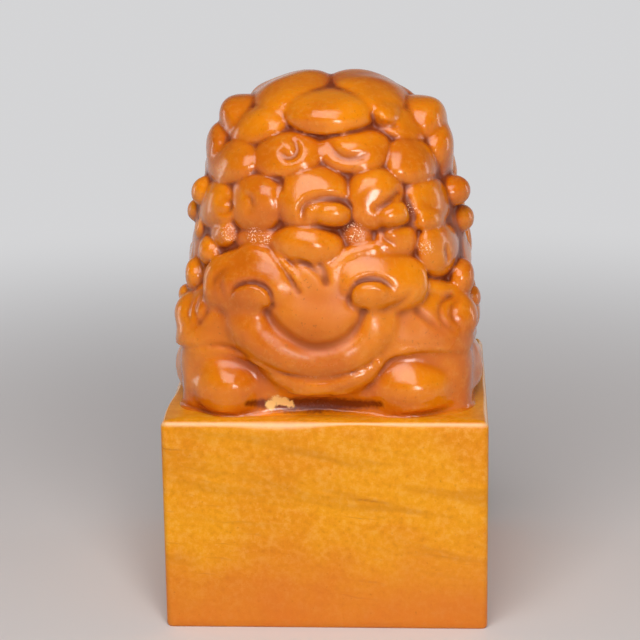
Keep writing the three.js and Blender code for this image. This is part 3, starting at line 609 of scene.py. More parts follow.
for side in (-1, 1):
    pebble(mirrored(side, HAUNCH), LEVEL, HAUNCH_RADII, blend=0.5)
    pebble(mirrored(side, HIND_PAW), LEVEL, HIND_PAW_RADII, blend=0.35)
    forearm = smooth_line([mirrored(side, place) for place in FOREARM])
    outwards = np.tile([side * 0.95, 0, 0.3], (len(forearm), 1))
    strap(forearm, outwards, half_widths=[2.7, 3.5, 2.8], half_heights=[2.4, 2.6, 2.2], blend=0.5)
    swirl_axes = frame_on_skin(mirrored(side, (0.93, 0.35, 0.12)), np.array([0, -side, 0.0]))
    snail_groove(mirrored(side, HAUNCH), swirl_axes, [6.1, 6.5, 5.2], turns=1.15, start=100, inward=0.25, depth=0.6,
                 clockwise=side > 0, half_width=0.45)
    for toe in (-1, 0, 1):
        root = (side * HIND_PAW[0] + toe * TOE_GAP + side * TOE_SPLAY, *TOE_ROOT)
        knuckle = (side * HIND_PAW[0] + toe * KNUCKLE_GAP, *KNUCKLE)
        stylus(np.array([root, knuckle]), depths=[0.5, 0.2], half_width=0.35)
print("haunch tops at", HAUNCH[2] + HAUNCH_RADII[2], "mm")

# %% [markdown]
# ## The tail
#
# Seals of this kind often lay the tail up the rump in pointed locks. One bent and twisted leaf could be modelled and
# copied. Straps are simpler: each lock is a band that widens and tapers, with two cuts along its crest.

# %% Tail
TAIL_LOCKS = [
    # turn in degrees, length, half-width
    (0, 13.0, 2.5),
    (-24, 9.6, 2.1),
    (24, 9.6, 2.1),
]
ROOT_SPREAD, ROOT_BACK, ROOT_HEIGHT = 3.2, 14.9, 1.6
SWEEP_CURVE, FALL_INWARD = 0.9, 0.5

for turn_of_lock, length, half_width in TAIL_LOCKS:
    lean = math.sin(math.radians(turn_of_lock))
    root = np.array([ROOT_SPREAD * lean, ROOT_BACK, ROOT_HEIGHT])
    spine = []
    for share in np.linspace(0, 1, 7):
        rise = share * math.cos(math.radians(turn_of_lock))
        sweep = lean * (share + SWEEP_CURVE * share * share)
        spine.append(root + length * np.array([sweep, 0.0, rise]) - np.array([0, FALL_INWARD * share, 0]))
    spine = np.array(spine)
    out = np.tile([0, 1.0, 0], (len(spine), 1))
    half_widths = [1.3, half_width, half_width, half_width * 0.8, 0.5]
    strap(spine, out, half_widths, half_heights=[1.2, 1.8, 1.7, 1.3, 0.5], blend=0.15)
    for beside in (-0.5, 0.6):
        stylus(smooth_line(spine[1:6] + np.array([beside, 1.7, 0])), depths=[0.1, 0.45, 0.1], half_width=0.3)
print("tail locks:", len(TAIL_LOCKS))

# %% [markdown]
# ## Curls on the outline
#
# A few balls stick out at the mane's sides, where a sight line would miss the dome. They are given in millimetres, at
# the depth of the dome's widest part, and their outline is squared as the camera sees it.

# %% Balls at the sides
EDGE_BALLS = [
    # x, y, z of the middle, then three radii
    [(-9.2, -1.6, 29.7), (2.7, 4.6, 3.1)],
    [(10.2, -1.6, 29.4), (2.9, 4.6, 3.2)],
    [(-11.3, -2.4, 26.8), (2.0, 4.4, 3.1)],
    [(11.7, -2.4, 26.8), (2.1, 4.4, 3.1)],
    [(13.6, -4.6, 22.6), (2.0, 2.2, 1.7)],
    [(14.2, -2.8, 19.2), (1.9, 2.2, 1.6)],
    [(-12.9, -5.6, 22.7), (1.9, 2.2, 1.7)],
    [(-13.9, -2.6, 20.1), (1.7, 2.1, 1.4)],
    [(-12.2, -9.2, 16.9), (1.7, 2.2, 1.7)],
    [(-14.2, -6.9, 13.7), (1.4, 2.2, 1.9)],
    [(-15.3, -6.2, 11.3), (1.2, 1.8, 1.1)],
    [(14.5, -7.6, 13.6), (1.7, 2.4, 2.0)],
    [(15.8, -4.6, 10.6), (1.1, 1.8, 1.3)],
]
OUTLINE_AXES = np.eye(3)[[0, 2, 1]]
TALL_BALL = 3

for middle, (wide, deep, tall) in EDGE_BALLS:
    pebble(np.array(middle), OUTLINE_AXES, (wide, tall, deep), 0.3, squareness=2.7 if tall > TALL_BALL else 2.2)
print("balls on the outline:", len(EDGE_BALLS))

# %% [markdown]
# ## The face: nose, muzzle and forehead
#
# Every form of the face is drawn over the photo and dropped on the mask, because its outline is what we can see. The
# nose is a broad bulb, the muzzle carries it up between the eyes, and a ball of hair lies over them. The order is a
# carver's: large forms first, creases last.

# %% Nose, muzzle and forehead curl
FACE_BULBS = {
    # middle across and down, width, height, rise, slant, blend, how deep it is sunk, squareness
    "nose": ((315, 318), 90, 60, 2.0, 0, 0.3, 0.25, 2.4),
    "muzzle": ((317, 297), 78, 56, 1.25, 0, 1.2, 0.3, 2.8),
    "bridge": ((313, 275), 60, 44, 1.5, 0, 1.6, 0.1, 2.0),
    "forehead_curl": ((309, 246), 80, 51, 3.3, -4, 0.35, 0.1, 2.0),
}
for bulb in FACE_BULBS.values():
    seen_pebble(*bulb, field=blocked)
print("bulbs of the face:", len(FACE_BULBS))

# %% [markdown]
# ## Drawing on the face
#
# A brow or a crease is a line over the photo. Each mark is dropped on the clay as it stands, so a groove follows what
# was carved before. A painted line in the material would look right from the front only.

# %% Drawing on the face
PIXELS_PER_MM = 9.4


def drawn_strap(pixels, widths, rises, blend=0.4):
    """Adds a band along a line of pixels, with its widths in pixels."""
    line, normals = clay.drop(smooth_line(pixels), field=blocked)
    strap(line, normals, spread(widths, len(line)) / 2 / PIXELS_PER_MM, rises, blend)


def drawn_groove(pixels, depths, half_width):
    """Presses a groove along a line of pixels."""
    line, _ = clay.drop(smooth_line(pixels))
    stylus(line, depths, half_width)


print("scale near the face:", PIXELS_PER_MM, "pixels per mm")

# %% [markdown]
# ## Brows and eyes
#
# Each brow is a swelling with a band that arches over it. The eye is a ball under the band, set off by a cut above it
# before and after it goes in: the first makes room for the ball, and the second keeps its lid crisp.

# %% Brows and eyes
BROWS = [
    # swelling, then the band's pixels, widths and rises
    (((382, 281), 92, 66, 2.1, 0, 0.4, 0.3, 2.4),
     [(327, 286), (336, 269), (350, 258), (372, 254), (394, 258)], [10, 18, 26, 28, 22], [0.6, 1.2, 1.7, 1.9, 1.4]),
    (((248, 281), 92, 62, 2.0, 0, 0.4, 0.3, 2.7),
     [(297, 289), (288, 276), (274, 264), (254, 258), (236, 262)], [10, 18, 26, 28, 22], [0.5, 1.2, 1.6, 1.8, 1.3]),
]
for swelling, *band in BROWS:
    seen_pebble(*swelling, field=blocked)
    drawn_strap(*band)

# An eye has a middle, width, height, rise, slant, blend and the depth it is sunk; a cut has its marks.
RIGHT_EYE = (372, 294), 44, 26, 0.9, 0, 0.5, 0.5
RIGHT_SOCKET = [(349, 299), (351, 290), (359, 282), (371, 278), (383, 280), (391, 287), (392, 294)]
RIGHT_LID = [(350, 304), (350, 295), (355, 286), (365, 281), (378, 281), (388, 287), (391, 296)]
LEFT_EYE = (251, 297), 42, 25, 0.8, 0, 0.5, 0.45
LEFT_SOCKET = [(231, 292), (238, 285), (252, 282), (264, 286), (271, 295), (272, 306)]
LEFT_LID = [(230, 295), (236, 287), (248, 283), (260, 285), (269, 292), (272, 305)]
LEFT_TEMPLE = [(222, 275), (220, 286), (223, 298)]
LEFT_BROW_END = [(213, 296), (214, 280), (224, 269), (240, 265)]
UNDER_RIGHT_EYE = [(350, 306), (364, 311), (384, 311), (402, 303), (411, 292)]

drawn_groove(RIGHT_SOCKET, [0.4, 0.65, 0.65, 0.65, 0.65, 0.5, 0.2], 0.3)
seen_pebble(*RIGHT_EYE)
drawn_groove(RIGHT_LID, [0.2, 0.35, 0.25, 0.2, 0.25, 0.35, 0.2], 0.24)
drawn_groove(LEFT_SOCKET, [0.3, 0.6, 0.6, 0.6, 0.6, 0.3], 0.3)
drawn_groove(LEFT_TEMPLE, [0.1, 0.3, 0.1], 0.35)
seen_pebble(*LEFT_EYE)
drawn_groove(LEFT_LID, [0.2, 0.25, 0.2, 0.25, 0.35, 0.3], 0.24)
drawn_groove(LEFT_BROW_END, [0.1, 0.3, 0.3, 0.1], 0.6)
drawn_groove(UNDER_RIGHT_EYE, [0.1, 0.3, 0.4, 0.3, 0.1], 0.5)
print("brows:", len(BROWS), " eyes: 2")

# %% [markdown]
# ## Lips and cheeks
#
# A broad lip hangs in an arc under the nose, and a narrower one lies below it. Each is one strap that swells in the
# middle. A deep cut parts the lip from the nose, and two small fills lift its corners.

# %% Lips and cheeks
LIP_CORNERS = ((263, 314), 28, 28), ((362, 311), 28, 26)
UPPER_LIP = [(240, 306), (249, 328), (264, 345), (290, 358), (318, 362), (346, 355), (366, 341), (382, 318)]
LOWER_LIP = [(266, 364), (282, 374), (302, 380), (324, 382), (346, 379), (364, 372), (378, 362)]

for corner in LIP_CORNERS:
    seen_pebble(*corner, 0.8, 0, 1.2, 0.3, field=blocked)
drawn_strap(UPPER_LIP, [18, 34, 38, 38, 38, 36, 30, 20], [0.4, 1.2, 1.5, 1.5, 1.4, 1.4, 1.0, 0.4], blend=1.5)
drawn_strap(LOWER_LIP, [14, 24, 28, 28, 28, 24, 12], [0.8, 1.4, 1.7, 1.8, 1.7, 1.3, 0.7], blend=0.3)
drawn_groove([(266, 310), (272, 322), (284, 334), (301, 345), (320, 348), (342, 342), (357, 328), (364, 312)],
             [0.3, 0.7, 0.9, 1.0, 0.9, 0.7, 0.3], 0.48)
drawn_groove([(262, 364), (290, 376), (323, 380), (350, 374), (382, 361)], [0.1, 0.3, 0.35, 0.3, 0.1], 0.3)
print("the upper lip spans", round((UPPER_LIP[-1][0] - UPPER_LIP[0][0]) / PIXELS_PER_MM, 1), "mm")

# %% [markdown]
# ## Paws and ears
#
# Two round paws rest on the block under the cheeks, and an ear folds back at each side. All four are pebbles in
# millimetres, because the photo shows them almost from the front. A scoop hollows the stone under the chin.

# %% Paws and ears
PAWS_AND_EARS = [
    # middle, radii, blend
    ((-10.4, -12.9, 2.7), (3.9, 3.6, 3.4), 0.7),
    ((8.9, -12.9, 2.7), (4.6, 3.6, 3.4), 0.7),
    ((13.9, -9.6, 9.6), (2.5, 3.2, 2.7), 0.4),
    ((-14.7, -8.8, 9.8), (1.9, 3.0, 2.3), 0.4),
]
for middle, radii, blend in PAWS_AND_EARS:
    pebble(np.array(middle), LEVEL, radii, blend)
EAR_LOCK = [(424, 283), (440, 287), (457, 292), (475, 299)]
drawn_strap(EAR_LOCK, [12, 17, 16, 10], [0.3, 0.6, 0.7, 0.5], 0.7)
CHIN_SCOOP, SCOOP_RADII = np.array([-0.3, -15.6, 0.9]), (6.2, 1.6, 1.5)
pebble(CHIN_SCOOP, LEVEL, SCOOP_RADII, blend=0.8, hollow=True)
print("paws and ears:", len(PAWS_AND_EARS))

# %% [markdown]
# ## Creases
#
# Fine cuts finish the carving: strokes between the brows, folds of the ears, and the winding lines on the front curls.
# On the stone each is one push of a graver. Here each is one line of pixels, with its depths along the way and half
# the width of the cut.

# %% Creases of the face and of the curls
CREASES = [
    ([(181, 402), (200, 409), (232, 414)], [0.1, 0.3, 0.1], 0.5),
    ([(272, 254), (285, 270), (299, 292)], [0.2, 0.5, 0.6], 0.26),
    ([(298, 260), (311, 267), (325, 281)], [0.2, 0.5, 0.5], 0.28),
    ([(320, 266), (325, 272), (326, 283)], [0.3, 0.6, 0.5], 0.4),
    ([(453, 294), (443, 302), (440, 313), (444, 323), (454, 331)], [0.2, 0.55, 0.6, 0.5, 0.2], 0.3),
    ([(460, 299), (453, 306), (453, 317), (461, 328)], [0.2, 0.5, 0.5, 0.2], 0.28),
    ([(198, 298), (194, 307), (195, 317), (200, 325)], [0.1, 0.45, 0.45, 0.1], 0.28),
    ([(189, 303), (187, 313), (190, 322)], [0.1, 0.35, 0.1], 0.26),
    ([(418, 312), (434, 325), (450, 335)], [0.4, 0.4, 0.1], 0.4),
    ([(206, 312), (199, 322), (190, 330)], [0.4, 0.4, 0.1], 0.4),
    ([(303, 217), (303, 209), (309, 202), (322, 198), (338, 199), (349, 206)], [0.4, 1.2, 1.3, 1.0, 0.8, 0.3], 0.42),
    ([(376, 209), (386, 203), (399, 192)], [0.5, 1.0, 0.6], 0.32),
    ([(294, 140), (297, 148), (294, 155), (287, 157), (283, 153)], [0.4, 0.8, 1.0, 0.9, 0.5], 0.34),
    ([(331, 145), (338, 154), (350, 158), (365, 155)], [0.3, 0.7, 0.7, 0.3], 0.45),
    ([(245, 195), (250, 198), (251, 205), (248, 212)], [0.2, 0.5, 0.5, 0.2], 0.28),
    ([(274, 177), (281, 181), (282, 190)], [0.2, 0.6, 0.3], 0.28),
    ([(219, 201), (226, 199), (230, 205), (226, 212), (219, 212)], [0.2, 0.5, 0.5, 0.5, 0.2], 0.28),
    ([(408, 199), (411, 208), (415, 219)], [0.5, 0.8, 0.4], 0.4),
    ([(383, 232), (386, 239), (394, 244)], [0.3, 0.7, 0.3], 0.3),
    ([(373, 116), (381, 124), (396, 126)], [0.3, 0.8, 0.4], 0.32),
    ([(448, 250), (449, 258)], [0.7, 0.7], 0.4),
    ([(230, 231), (231, 236)], [0.9, 0.9], 0.4),
]
for crease in CREASES:
    drawn_groove(*crease)
print("creases:", len(CREASES))

# %% [markdown]
# ## Fine ridges
#
# Polishing leaves thin raised lines where two surfaces meet, and they catch the light in the photo: along the lips,
# the mask's lower edge, the feet and the eyelids. The stylus raises them with a negative depth.

# %% Fine ridges
RIDGE_DEPTHS, RIDGE_HALF_WIDTH = [-0.08, -0.3, -0.32, -0.3, -0.08], 0.26
FINE_RIDGES = {
    "lip_line": [(287, 377), (300, 378.5), (323, 379), (347, 376), (366, 369), (382, 361)],
    "lower_lip_rim": [(268, 380), (278, 387), (295, 392), (321, 395), (350, 392), (368, 386)],
    "mask_edge_left": [(183, 351), (213, 350), (235, 353), (255, 363), (270, 371)],
    "mask_edge_right": [(384, 361), (396, 353), (430, 349.5), (470, 350)],
    "brow_crease_left": [(276, 254), (289, 269), (302, 289)],
    "second_row_seam": [(296, 128), (310, 131), (323, 133), (345, 129)],
    "third_row_seam": [(322, 137), (321.5, 150), (321, 160)],
    "left_foot": [(183, 399), (205, 408), (236, 412)],
    "right_foot": [(392, 412), (425, 408), (452, 400)],
    "left_eye_lid": [(233, 296), (241, 290), (253, 288), (265, 292)],
    "right_eye_lid": [(360, 291), (368, 287), (378, 288), (386, 294)],
}
for pixels in FINE_RIDGES.values():
    drawn_groove(pixels, RIDGE_DEPTHS, RIDGE_HALF_WIDTH)
print("fine ridges:", len(FINE_RIDGES))

# %% [markdown]
# ## Foot
#
# The carving grows out of the block. A thin slab under the feet, blended into them, gives the small hollow that a
# chisel leaves there. The slab itself lies just inside the block's top, so only the hollow shows. A hand never rubs a
# surface quite even, so slow waves of a twentieth of a millimetre run through the whole skin.

# %% Foot
HAND_WAVES = [((0.9, 0.5, 0.7), 0.3), ((-0.6, 1.1, 0.8), 1.9), ((0.4, -0.7, 1.3), 4.1)]
WAVE_HEIGHT = 0.05
SLAB_MIDDLE, SLAB_HALF, SLAB_REACH, SLAB_BLEND = -0.42, 0.3, 16.4, 0.7
FOOT_LEVEL, WIDEST = -0.7, 17.3

for waves, phase in HAND_WAVES:
    clay.distance += np.float32(WAVE_HEIGHT) * np.sin(grid_points @ np.array(waves, np.float32) + np.float32(phase))
out_from_middle = np.maximum(np.abs(grid_points[..., 0]), np.abs(grid_points[..., 1]))
slab = np.maximum(np.abs(grid_points[..., 2] - SLAB_MIDDLE) - SLAB_HALF, out_from_middle - SLAB_REACH)
clay.distance = soft_smaller(clay.distance, slab, SLAB_BLEND)
clay.distance = np.maximum(clay.distance, FOOT_LEVEL - grid_points[..., 2])
clay.distance = np.maximum(clay.distance, out_from_middle - WIDEST).astype(np.float32)
print("the foot reaches", -FOOT_LEVEL, "mm into the block")

# %% [markdown]
# ## Drawing the skin
#
# Surface nets turn the grid into a mesh: each small cube that the skin passes through gets one point, the mean of
# where the skin crosses its edges, and each crossed edge gets a quad from the four cubes around it. That gives even
# quads, which shade better than the slivers of marching cubes.

# %% Surface nets
def surface_nets(field, low, step):
    """Points and quads of the skin where the field is nought."""
    inside = field < 0
    cells = tuple(n - 1 for n in field.shape)
    corners = list(np.ndindex(2, 2, 2))
    count = sum(inside[a:a + cells[0], b:b + cells[1], c:c + cells[2]].astype(np.int8) for a, b, c in corners)
    mixed = (count > 0) & (count < 8)
    ids = np.full(cells, -1, np.int64)
    places = np.argwhere(mixed)
    ids[mixed] = np.arange(len(places))
    total = np.zeros((len(places), 3))
    crossings = np.zeros(len(places))
    for first in corners:
        for axis in range(3):
            if first[axis]:
                continue
            along_edge = np.eye(3, dtype=int)[axis]
            value_a = field[tuple((places + first).T)]
            value_b = field[tuple((places + first + along_edge).T)]
            crossed = (value_a < 0) != (value_b < 0)
            share = np.where(crossed, value_a / np.where(crossed, value_a - value_b, 1), 0)
            total += np.where(crossed[:, None], np.array(first, float) + share[:, None] * along_edge, 0)
            crossings += crossed
    points = low + step * (places + total / crossings[:, None])
    quads = []
    for axis in range(3):
        one, two = (axis + 1) % 3, (axis + 2) % 3
        near = np.take(inside, np.arange(inside.shape[axis] - 1), axis)
        far = np.take(inside, np.arange(1, inside.shape[axis]), axis)
        edges = np.argwhere(near != far)
        for side in (one, two):
            edges = edges[(edges[:, side] > 0) & (edges[:, side] < field.shape[side] - 1)]
        back_one, back_two = np.eye(3, dtype=int)[[one, two]]
        ring = [ids[tuple((edges - a * back_one - b * back_two).T)] for a, b in ((0, 0), (1, 0), (1, 1), (0, 1))]
        ring = np.column_stack(ring)
        outward = near[tuple(edges.T)]
        quads.append(np.where(outward[:, None], ring, ring[:, ::-1]))
    return points, np.vstack(quads)


ball = np.linalg.norm(np.indices((9, 9, 9)) - 4.0, axis=0) - 2.5
print("a small ball becomes", len(surface_nets(ball, np.zeros(3), 1.0)[1]), "quads")

# %% [markdown]
# ## The beast's mesh
#
# Where two curls touch along a line only, the skin would meet itself and have four faces at one edge. It could be
# mended in the mesh, but filling that one grid point is simpler and leaves a closed skin.

# %% The beast's mesh
def mend_pinches(field, fill=-0.02):
    """Fills the grid points at which two forms touch along a line only, where the skin would meet itself."""
    mended = 0
    for axis in range(3):
        layers = np.moveaxis(field, axis, 0)
        corners = layers[:, :-1, :-1], layers[:, 1:, 1:], layers[:, 1:, :-1], layers[:, :-1, 1:]
        a, b, c, d = (corner < 0 for corner in corners)
        pinched = (a == b) & (c == d) & (a != c)
        for corner in corners:
            corner[pinched & (corner >= 0)] = fill
        mended += int(pinched.sum())
    return mended


def make_piece(name, points, faces):
    """A smooth mesh object from points in millimetres above the block's foot."""
    mesh = bpy.data.meshes.new(name)
    mesh.from_pydata((np.asarray(points) * MM).tolist(), [], faces)
    mesh.validate()
    mesh.update()
    mesh.polygons.foreach_set("use_smooth", [True] * len(mesh.polygons))
    piece = bpy.data.objects.new(name, mesh)
    bpy.context.collection.objects.link(piece)
    return piece


while mended := mend_pinches(clay.distance):
    print("pinched grid squares filled:", mended)
points, quads = surface_nets(clay.distance, clay.low, clay.step)
beast = make_piece("carved_beast", points + BLOCK_LIFT, quads.tolist())
print("carved_beast:", len(points), "points,", len(quads), "quads")

# %% [markdown]
# ## Painted shade, dust and matt spots
#
# We store how deep each point of the skin lies, finely and broadly. Creases miss the polish, and the material paints
# creases and broad hollows darker as shade. A few recesses hold pale stone dust, painted bright as glints too, the
# nose and cheeks are worn matt, the hollow under the chin is painted dark as shade, and a pale patch there is painted
# glow, as if light came through thin stone. All are numbers on the points, which the material reads. Painting them on
# an image would need an unwrapped skin.

# %% Numbers on the skin
BROAD = 3
FINE_PASSES, BROAD_PASSES = 8, 7
CHIN_ROW, CHIN_COLUMNS = 403.5, range(248, 382, 4)
SPOTS = {
    # pixel of the photo, radius in millimetres; the hollow's spots grow towards the middle of their row
    # pale stone dust in a few pits, painted bright as glints too
    "dust": [((228, 234), 0.9), ((254, 235), 0.9), ((265, 239), 0.7), ((354, 232), 1.1), ((426, 247), 0.9),
             ((410, 209), 0.7), ((312, 207), 0.5)],
    # a pale patch under the chin, painted as glow, as if light came through thin stone
    "thin": [((271, 404), 0.8), ((277, 400), 0.75), ((284, 401), 0.7), ((290, 404), 0.5)],
    # the hollow under the chin, painted dark as shade
    "hollow": [((u, CHIN_ROW), 0.4 + 0.6 * math.sin(math.pi * (u - 244) / 140)) for u in CHIN_COLUMNS],
    "matt": [((315, 322), 3.9), ((317, 298), 2.6), ((414, 325), 1.9), ((436, 330), 2.0), ((215, 338), 1.9)],
}


def carry(name, values):
    """Stores one number per point of the beast."""
    layer = beast.data.attributes.new(name, "FLOAT", "POINT")
    layer.data.foreach_set("value", np.asarray(values, np.float32))
    print(name, "from", round(float(values.min()), 3), "to", round(float(values.max()), 3))


def near_pixels(spots):
    """1 at the places seen at some pixels of the photo, falling to 0 around them."""
    share = np.zeros(len(points))
    for pixel, radius in spots:
        middle = clay.drop([pixel])[0][0]
        share = np.maximum(share, np.exp(-(np.linalg.norm(points - middle, axis=1) / radius) ** 2))
    return share


thinned = clay.distance[::BROAD, ::BROAD, ::BROAD]
coarse = Clay(CLAY_LOW, thinned.shape, STEP * BROAD)
# how deep each point lies in a crease: creases are rougher, and are painted darker as shade
carry("crease", clay.sample(points) - clay.sample(points, soften(clay.distance, FINE_PASSES)))
# how deep each point lies in a broad hollow, which is painted darker as shade
carry("shade", -coarse.sample(points, soften(thinned, BROAD_PASSES)))
for name, spots in SPOTS.items():
    carry(name, near_pixels(spots))

# %% [markdown]
# ## The block
#
# The block is sawn and rubbed flat, then its edges are eased by hand, so the ease varies along each edge. A cube with
# a bevel would be too even. Rings of points climb a rounded square and turn over the top edge with a radius that
# wanders.

# %% A square ring
CORNER = 0.7
SIDE_POINTS = 60
CORNER_POINTS = 5


def rounded_square(half, corner):
    """Points around a square with round corners: x, y and the outward direction's x, y."""
    side = [(half, -(half - corner) + 2 * (half - corner) * i / SIDE_POINTS, 1.0, 0.0) for i in range(SIDE_POINTS)]
    for i in range(CORNER_POINTS):
        cos, sin = math.cos(math.pi / 2 * i / CORNER_POINTS), math.sin(math.pi / 2 * i / CORNER_POINTS)
        side.append((half - corner + corner * cos, half - corner + corner * sin, cos, sin))
    ring = []
    for cos, sin in ((1, 0), (0, 1), (-1, 0), (0, -1)):
        ring += [(x * cos - y * sin, x * sin + y * cos, nx * cos - ny * sin, nx * sin + ny * cos)
                 for x, y, nx, ny in side]
    return np.array(ring)


ring = rounded_square(BLOCK_HALF, CORNER)
ring_count = len(ring)
print("points in a ring:", ring_count)

# %% Rings up the block
WORN_EDGE = 0.62
WORN_WAVINESS = 0.27
WORN_STEPS = 7
FOOT_BEVEL, FOOT_INSET = 0.3, 0.6
EASE_STRAIGHT, EASE_ROUND, EASE_INWARD = 0.6, 0.4, 0.75
SIDE_LEVELS = [0.0, 0.12, 0.3, 0.9, 2.2, 5, 8, 11, 14, 17, 20, 22]
TOP_SHARES = [0.9, 0.6, 0.3, 0.08]


def block_ring(inset, height):
    """The ring at a height, drawn in by inset."""
    inward = ring[:, 2:] * np.broadcast_to(inset, ring_count)[:, None]
    return np.column_stack([ring[:, :2] - inward, np.broadcast_to(height, ring_count)])


along_side = np.arange(ring_count) % (ring_count // 4) / (SIDE_POINTS + CORNER_POINTS)
way_round = np.linspace(0, 2 * math.pi, ring_count, endpoint=False)
waves = np.sin(5 * way_round + 1.0) + 0.6 * np.sin(11 * way_round + 0.4)
wear = WORN_EDGE + WORN_WAVINESS * np.sin(math.pi * along_side) * waves
levels = [block_ring(max(FOOT_BEVEL - z, 0) * FOOT_INSET, z) for z in SIDE_LEVELS]
worn = [0.0] * len(levels)
for share in np.arange(WORN_STEPS + 1) / WORN_STEPS:
    angle = math.pi / 2 * share
    inset = EASE_INWARD * wear * (EASE_STRAIGHT * share + EASE_ROUND * (1 - math.cos(angle)))
    fallen = wear * (EASE_STRAIGHT * (1 - share) + EASE_ROUND * (1 - math.sin(angle)))
    levels.append(block_ring(inset, BLOCK_TOP - fallen))
    worn.append(math.sin(math.pi * share) ** 2)
rim_of_top = levels[-1]
for share in TOP_SHARES:
    levels.append(np.column_stack([rim_of_top[:, :2] * share, np.full(ring_count, BLOCK_TOP)]))
    worn.append(0.0)
block_points = np.vstack(levels + [np.array([[0, 0, BLOCK_TOP]])]).tolist()
block_faces = []
for start in range(0, (len(levels) - 1) * ring_count, ring_count):
    for i in range(ring_count):
        j = (i + 1) % ring_count
        block_faces.append((start + i, start + j, start + ring_count + j, start + ring_count + i))
last = (len(levels) - 1) * ring_count
for i in range(ring_count):
    block_faces.append((last + i, last + (i + 1) % ring_count, len(block_points) - 1))
smooth_faces = len(block_faces)
print("block rings:", len(levels), " ease from", round(float(wear.min()), 2), "to", round(float(wear.max()), 2), "mm")

# %% [markdown]
# ## The printing face
#
# The stamp's underside is cut in relief: a rim and a square fret stand proud, and what lies between them is cut back.
# Booleans could cut it, but leave poor faces. We lay a grid whose lines run just inside and just outside every edge of
# the bars. Points inside a bar stay level, all others are raised to the cut-back depth, and the narrow strips between
# become the sloping walls that a graver leaves.

# %% Bars of the fret
RIM = 1.6
FRET_BAR = 1.5
FRET_GAP = 1.7

field_half = BLOCK_HALF - RIM
fret_half = field_half - FRET_GAP - FRET_BAR / 2
corners = [(-fret_half, -field_half)]
inset = 0.0
while fret_half - inset > FRET_BAR + FRET_GAP:
    reach = fret_half - inset
    corners += [(-reach, reach), (reach, reach), (reach, -reach), (FRET_BAR + FRET_GAP - reach, -reach)]
    inset += FRET_BAR + FRET_GAP
bars = []
for (x0, y0), (x1, y1) in zip(corners[:-1], corners[1:]):
    bars.append((min(x0, x1) - FRET_BAR / 2, max(x0, x1) + FRET_BAR / 2,
                 min(y0, y1) - FRET_BAR / 2, max(y0, y1) + FRET_BAR / 2))
for side in (-1, 1):
    rim_low, rim_high = sorted((side * field_half, side * BLOCK_HALF))
    bars.append((rim_low, rim_high, -BLOCK_HALF, BLOCK_HALF))
    bars.append((-BLOCK_HALF, BLOCK_HALF, rim_low, rim_high))
print("bars of fret and rim:", len(bars))

# %% Relief sheet
RELIEF = 0.9
WALL = 0.1
SHEET_HALF = BLOCK_HALF - 0.8


def grid_lines(edges):
    """Sorted lines just inside and outside every edge, out to the sheet's border."""
    lines = {round(edge + offset, 4) for edge in edges for offset in (-WALL, WALL)} | {-SHEET_HALF, SHEET_HALF}
    return sorted(line for line in lines if abs(line) <= SHEET_HALF)


grid_x = grid_lines([edge for bar in bars for edge in bar[:2]])
grid_y = grid_lines([edge for bar in bars for edge in bar[2:]])
sheet_start = len(block_points)
for y in grid_y:
    for x in grid_x:
        printing = any(x0 < x < x1 and y0 < y < y1 for x0, x1, y0, y1 in bars)
        block_points.append([x, y, 0.0 if printing else RELIEF])
for row in range(len(grid_y) - 1):
    for column in range(len(grid_x) - 1):
        a = sheet_start + row * len(grid_x) + column
        block_faces.append((a, a + len(grid_x), a + len(grid_x) + 1, a + 1))
print("printing face:", len(grid_x), "x", len(grid_y), "grid lines,", RELIEF, "mm deep")

# %% [markdown]
# ## Closing the block
#
# The sheet's border and the lowest ring have different numbers of points. Faces between them could be counted out by
# hand. Blender's triangle fill finds them from the two loops of edges, and the block becomes watertight.

# %% Closing the block
sheet = sheet_start + np.arange(len(grid_x) * len(grid_y)).reshape(len(grid_y), len(grid_x))
border = np.concatenate([sheet[0], sheet[1:, -1], sheet[-1, -2::-1], sheet[-2:0:-1, 0]]).tolist()
block = make_piece("seal_body", block_points, block_faces)
shell = bmesh.new()
shell.from_mesh(block.data)
shell.verts.ensure_lookup_table()
gap_edges = []
for loop in (list(range(ring_count)), border):
    for i, j in zip(loop, loop[1:] + loop[:1]):
        gap_edges.append(shell.edges.get((shell.verts[i], shell.verts[j])))
bmesh.ops.triangle_fill(shell, use_beauty=True, edges=gap_edges)
for index, face in enumerate(shell.faces):
    face.smooth = index < smooth_faces
bmesh.ops.recalc_face_normals(shell, faces=shell.faces)
open_edges = sum(not edge.is_manifold for edge in shell.edges)
shell.to_mesh(block.data)
shell.free()
# The worn edge's share makes it shinier, and the material paints it paler there as a highlight.
worn_and_highlight_layer = block.data.attributes.new("worn", "FLOAT", "POINT")
worn_and_highlight_values = np.zeros(len(block_points), np.float32)
worn_and_highlight_values[:len(worn) * ring_count] = np.repeat(worn, ring_count)
worn_and_highlight_layer.data.foreach_set("value", worn_and_highlight_values)
print("seal_body:", len(block_points), "points; open edges:", open_edges)

# %% [markdown]
# ## Shader maths
#
# A material is a net of nodes, which is tedious to wire by hand. This small class wraps a node's output, so that plain
# Python arithmetic adds the Math nodes, and a finish reads as sums and products.

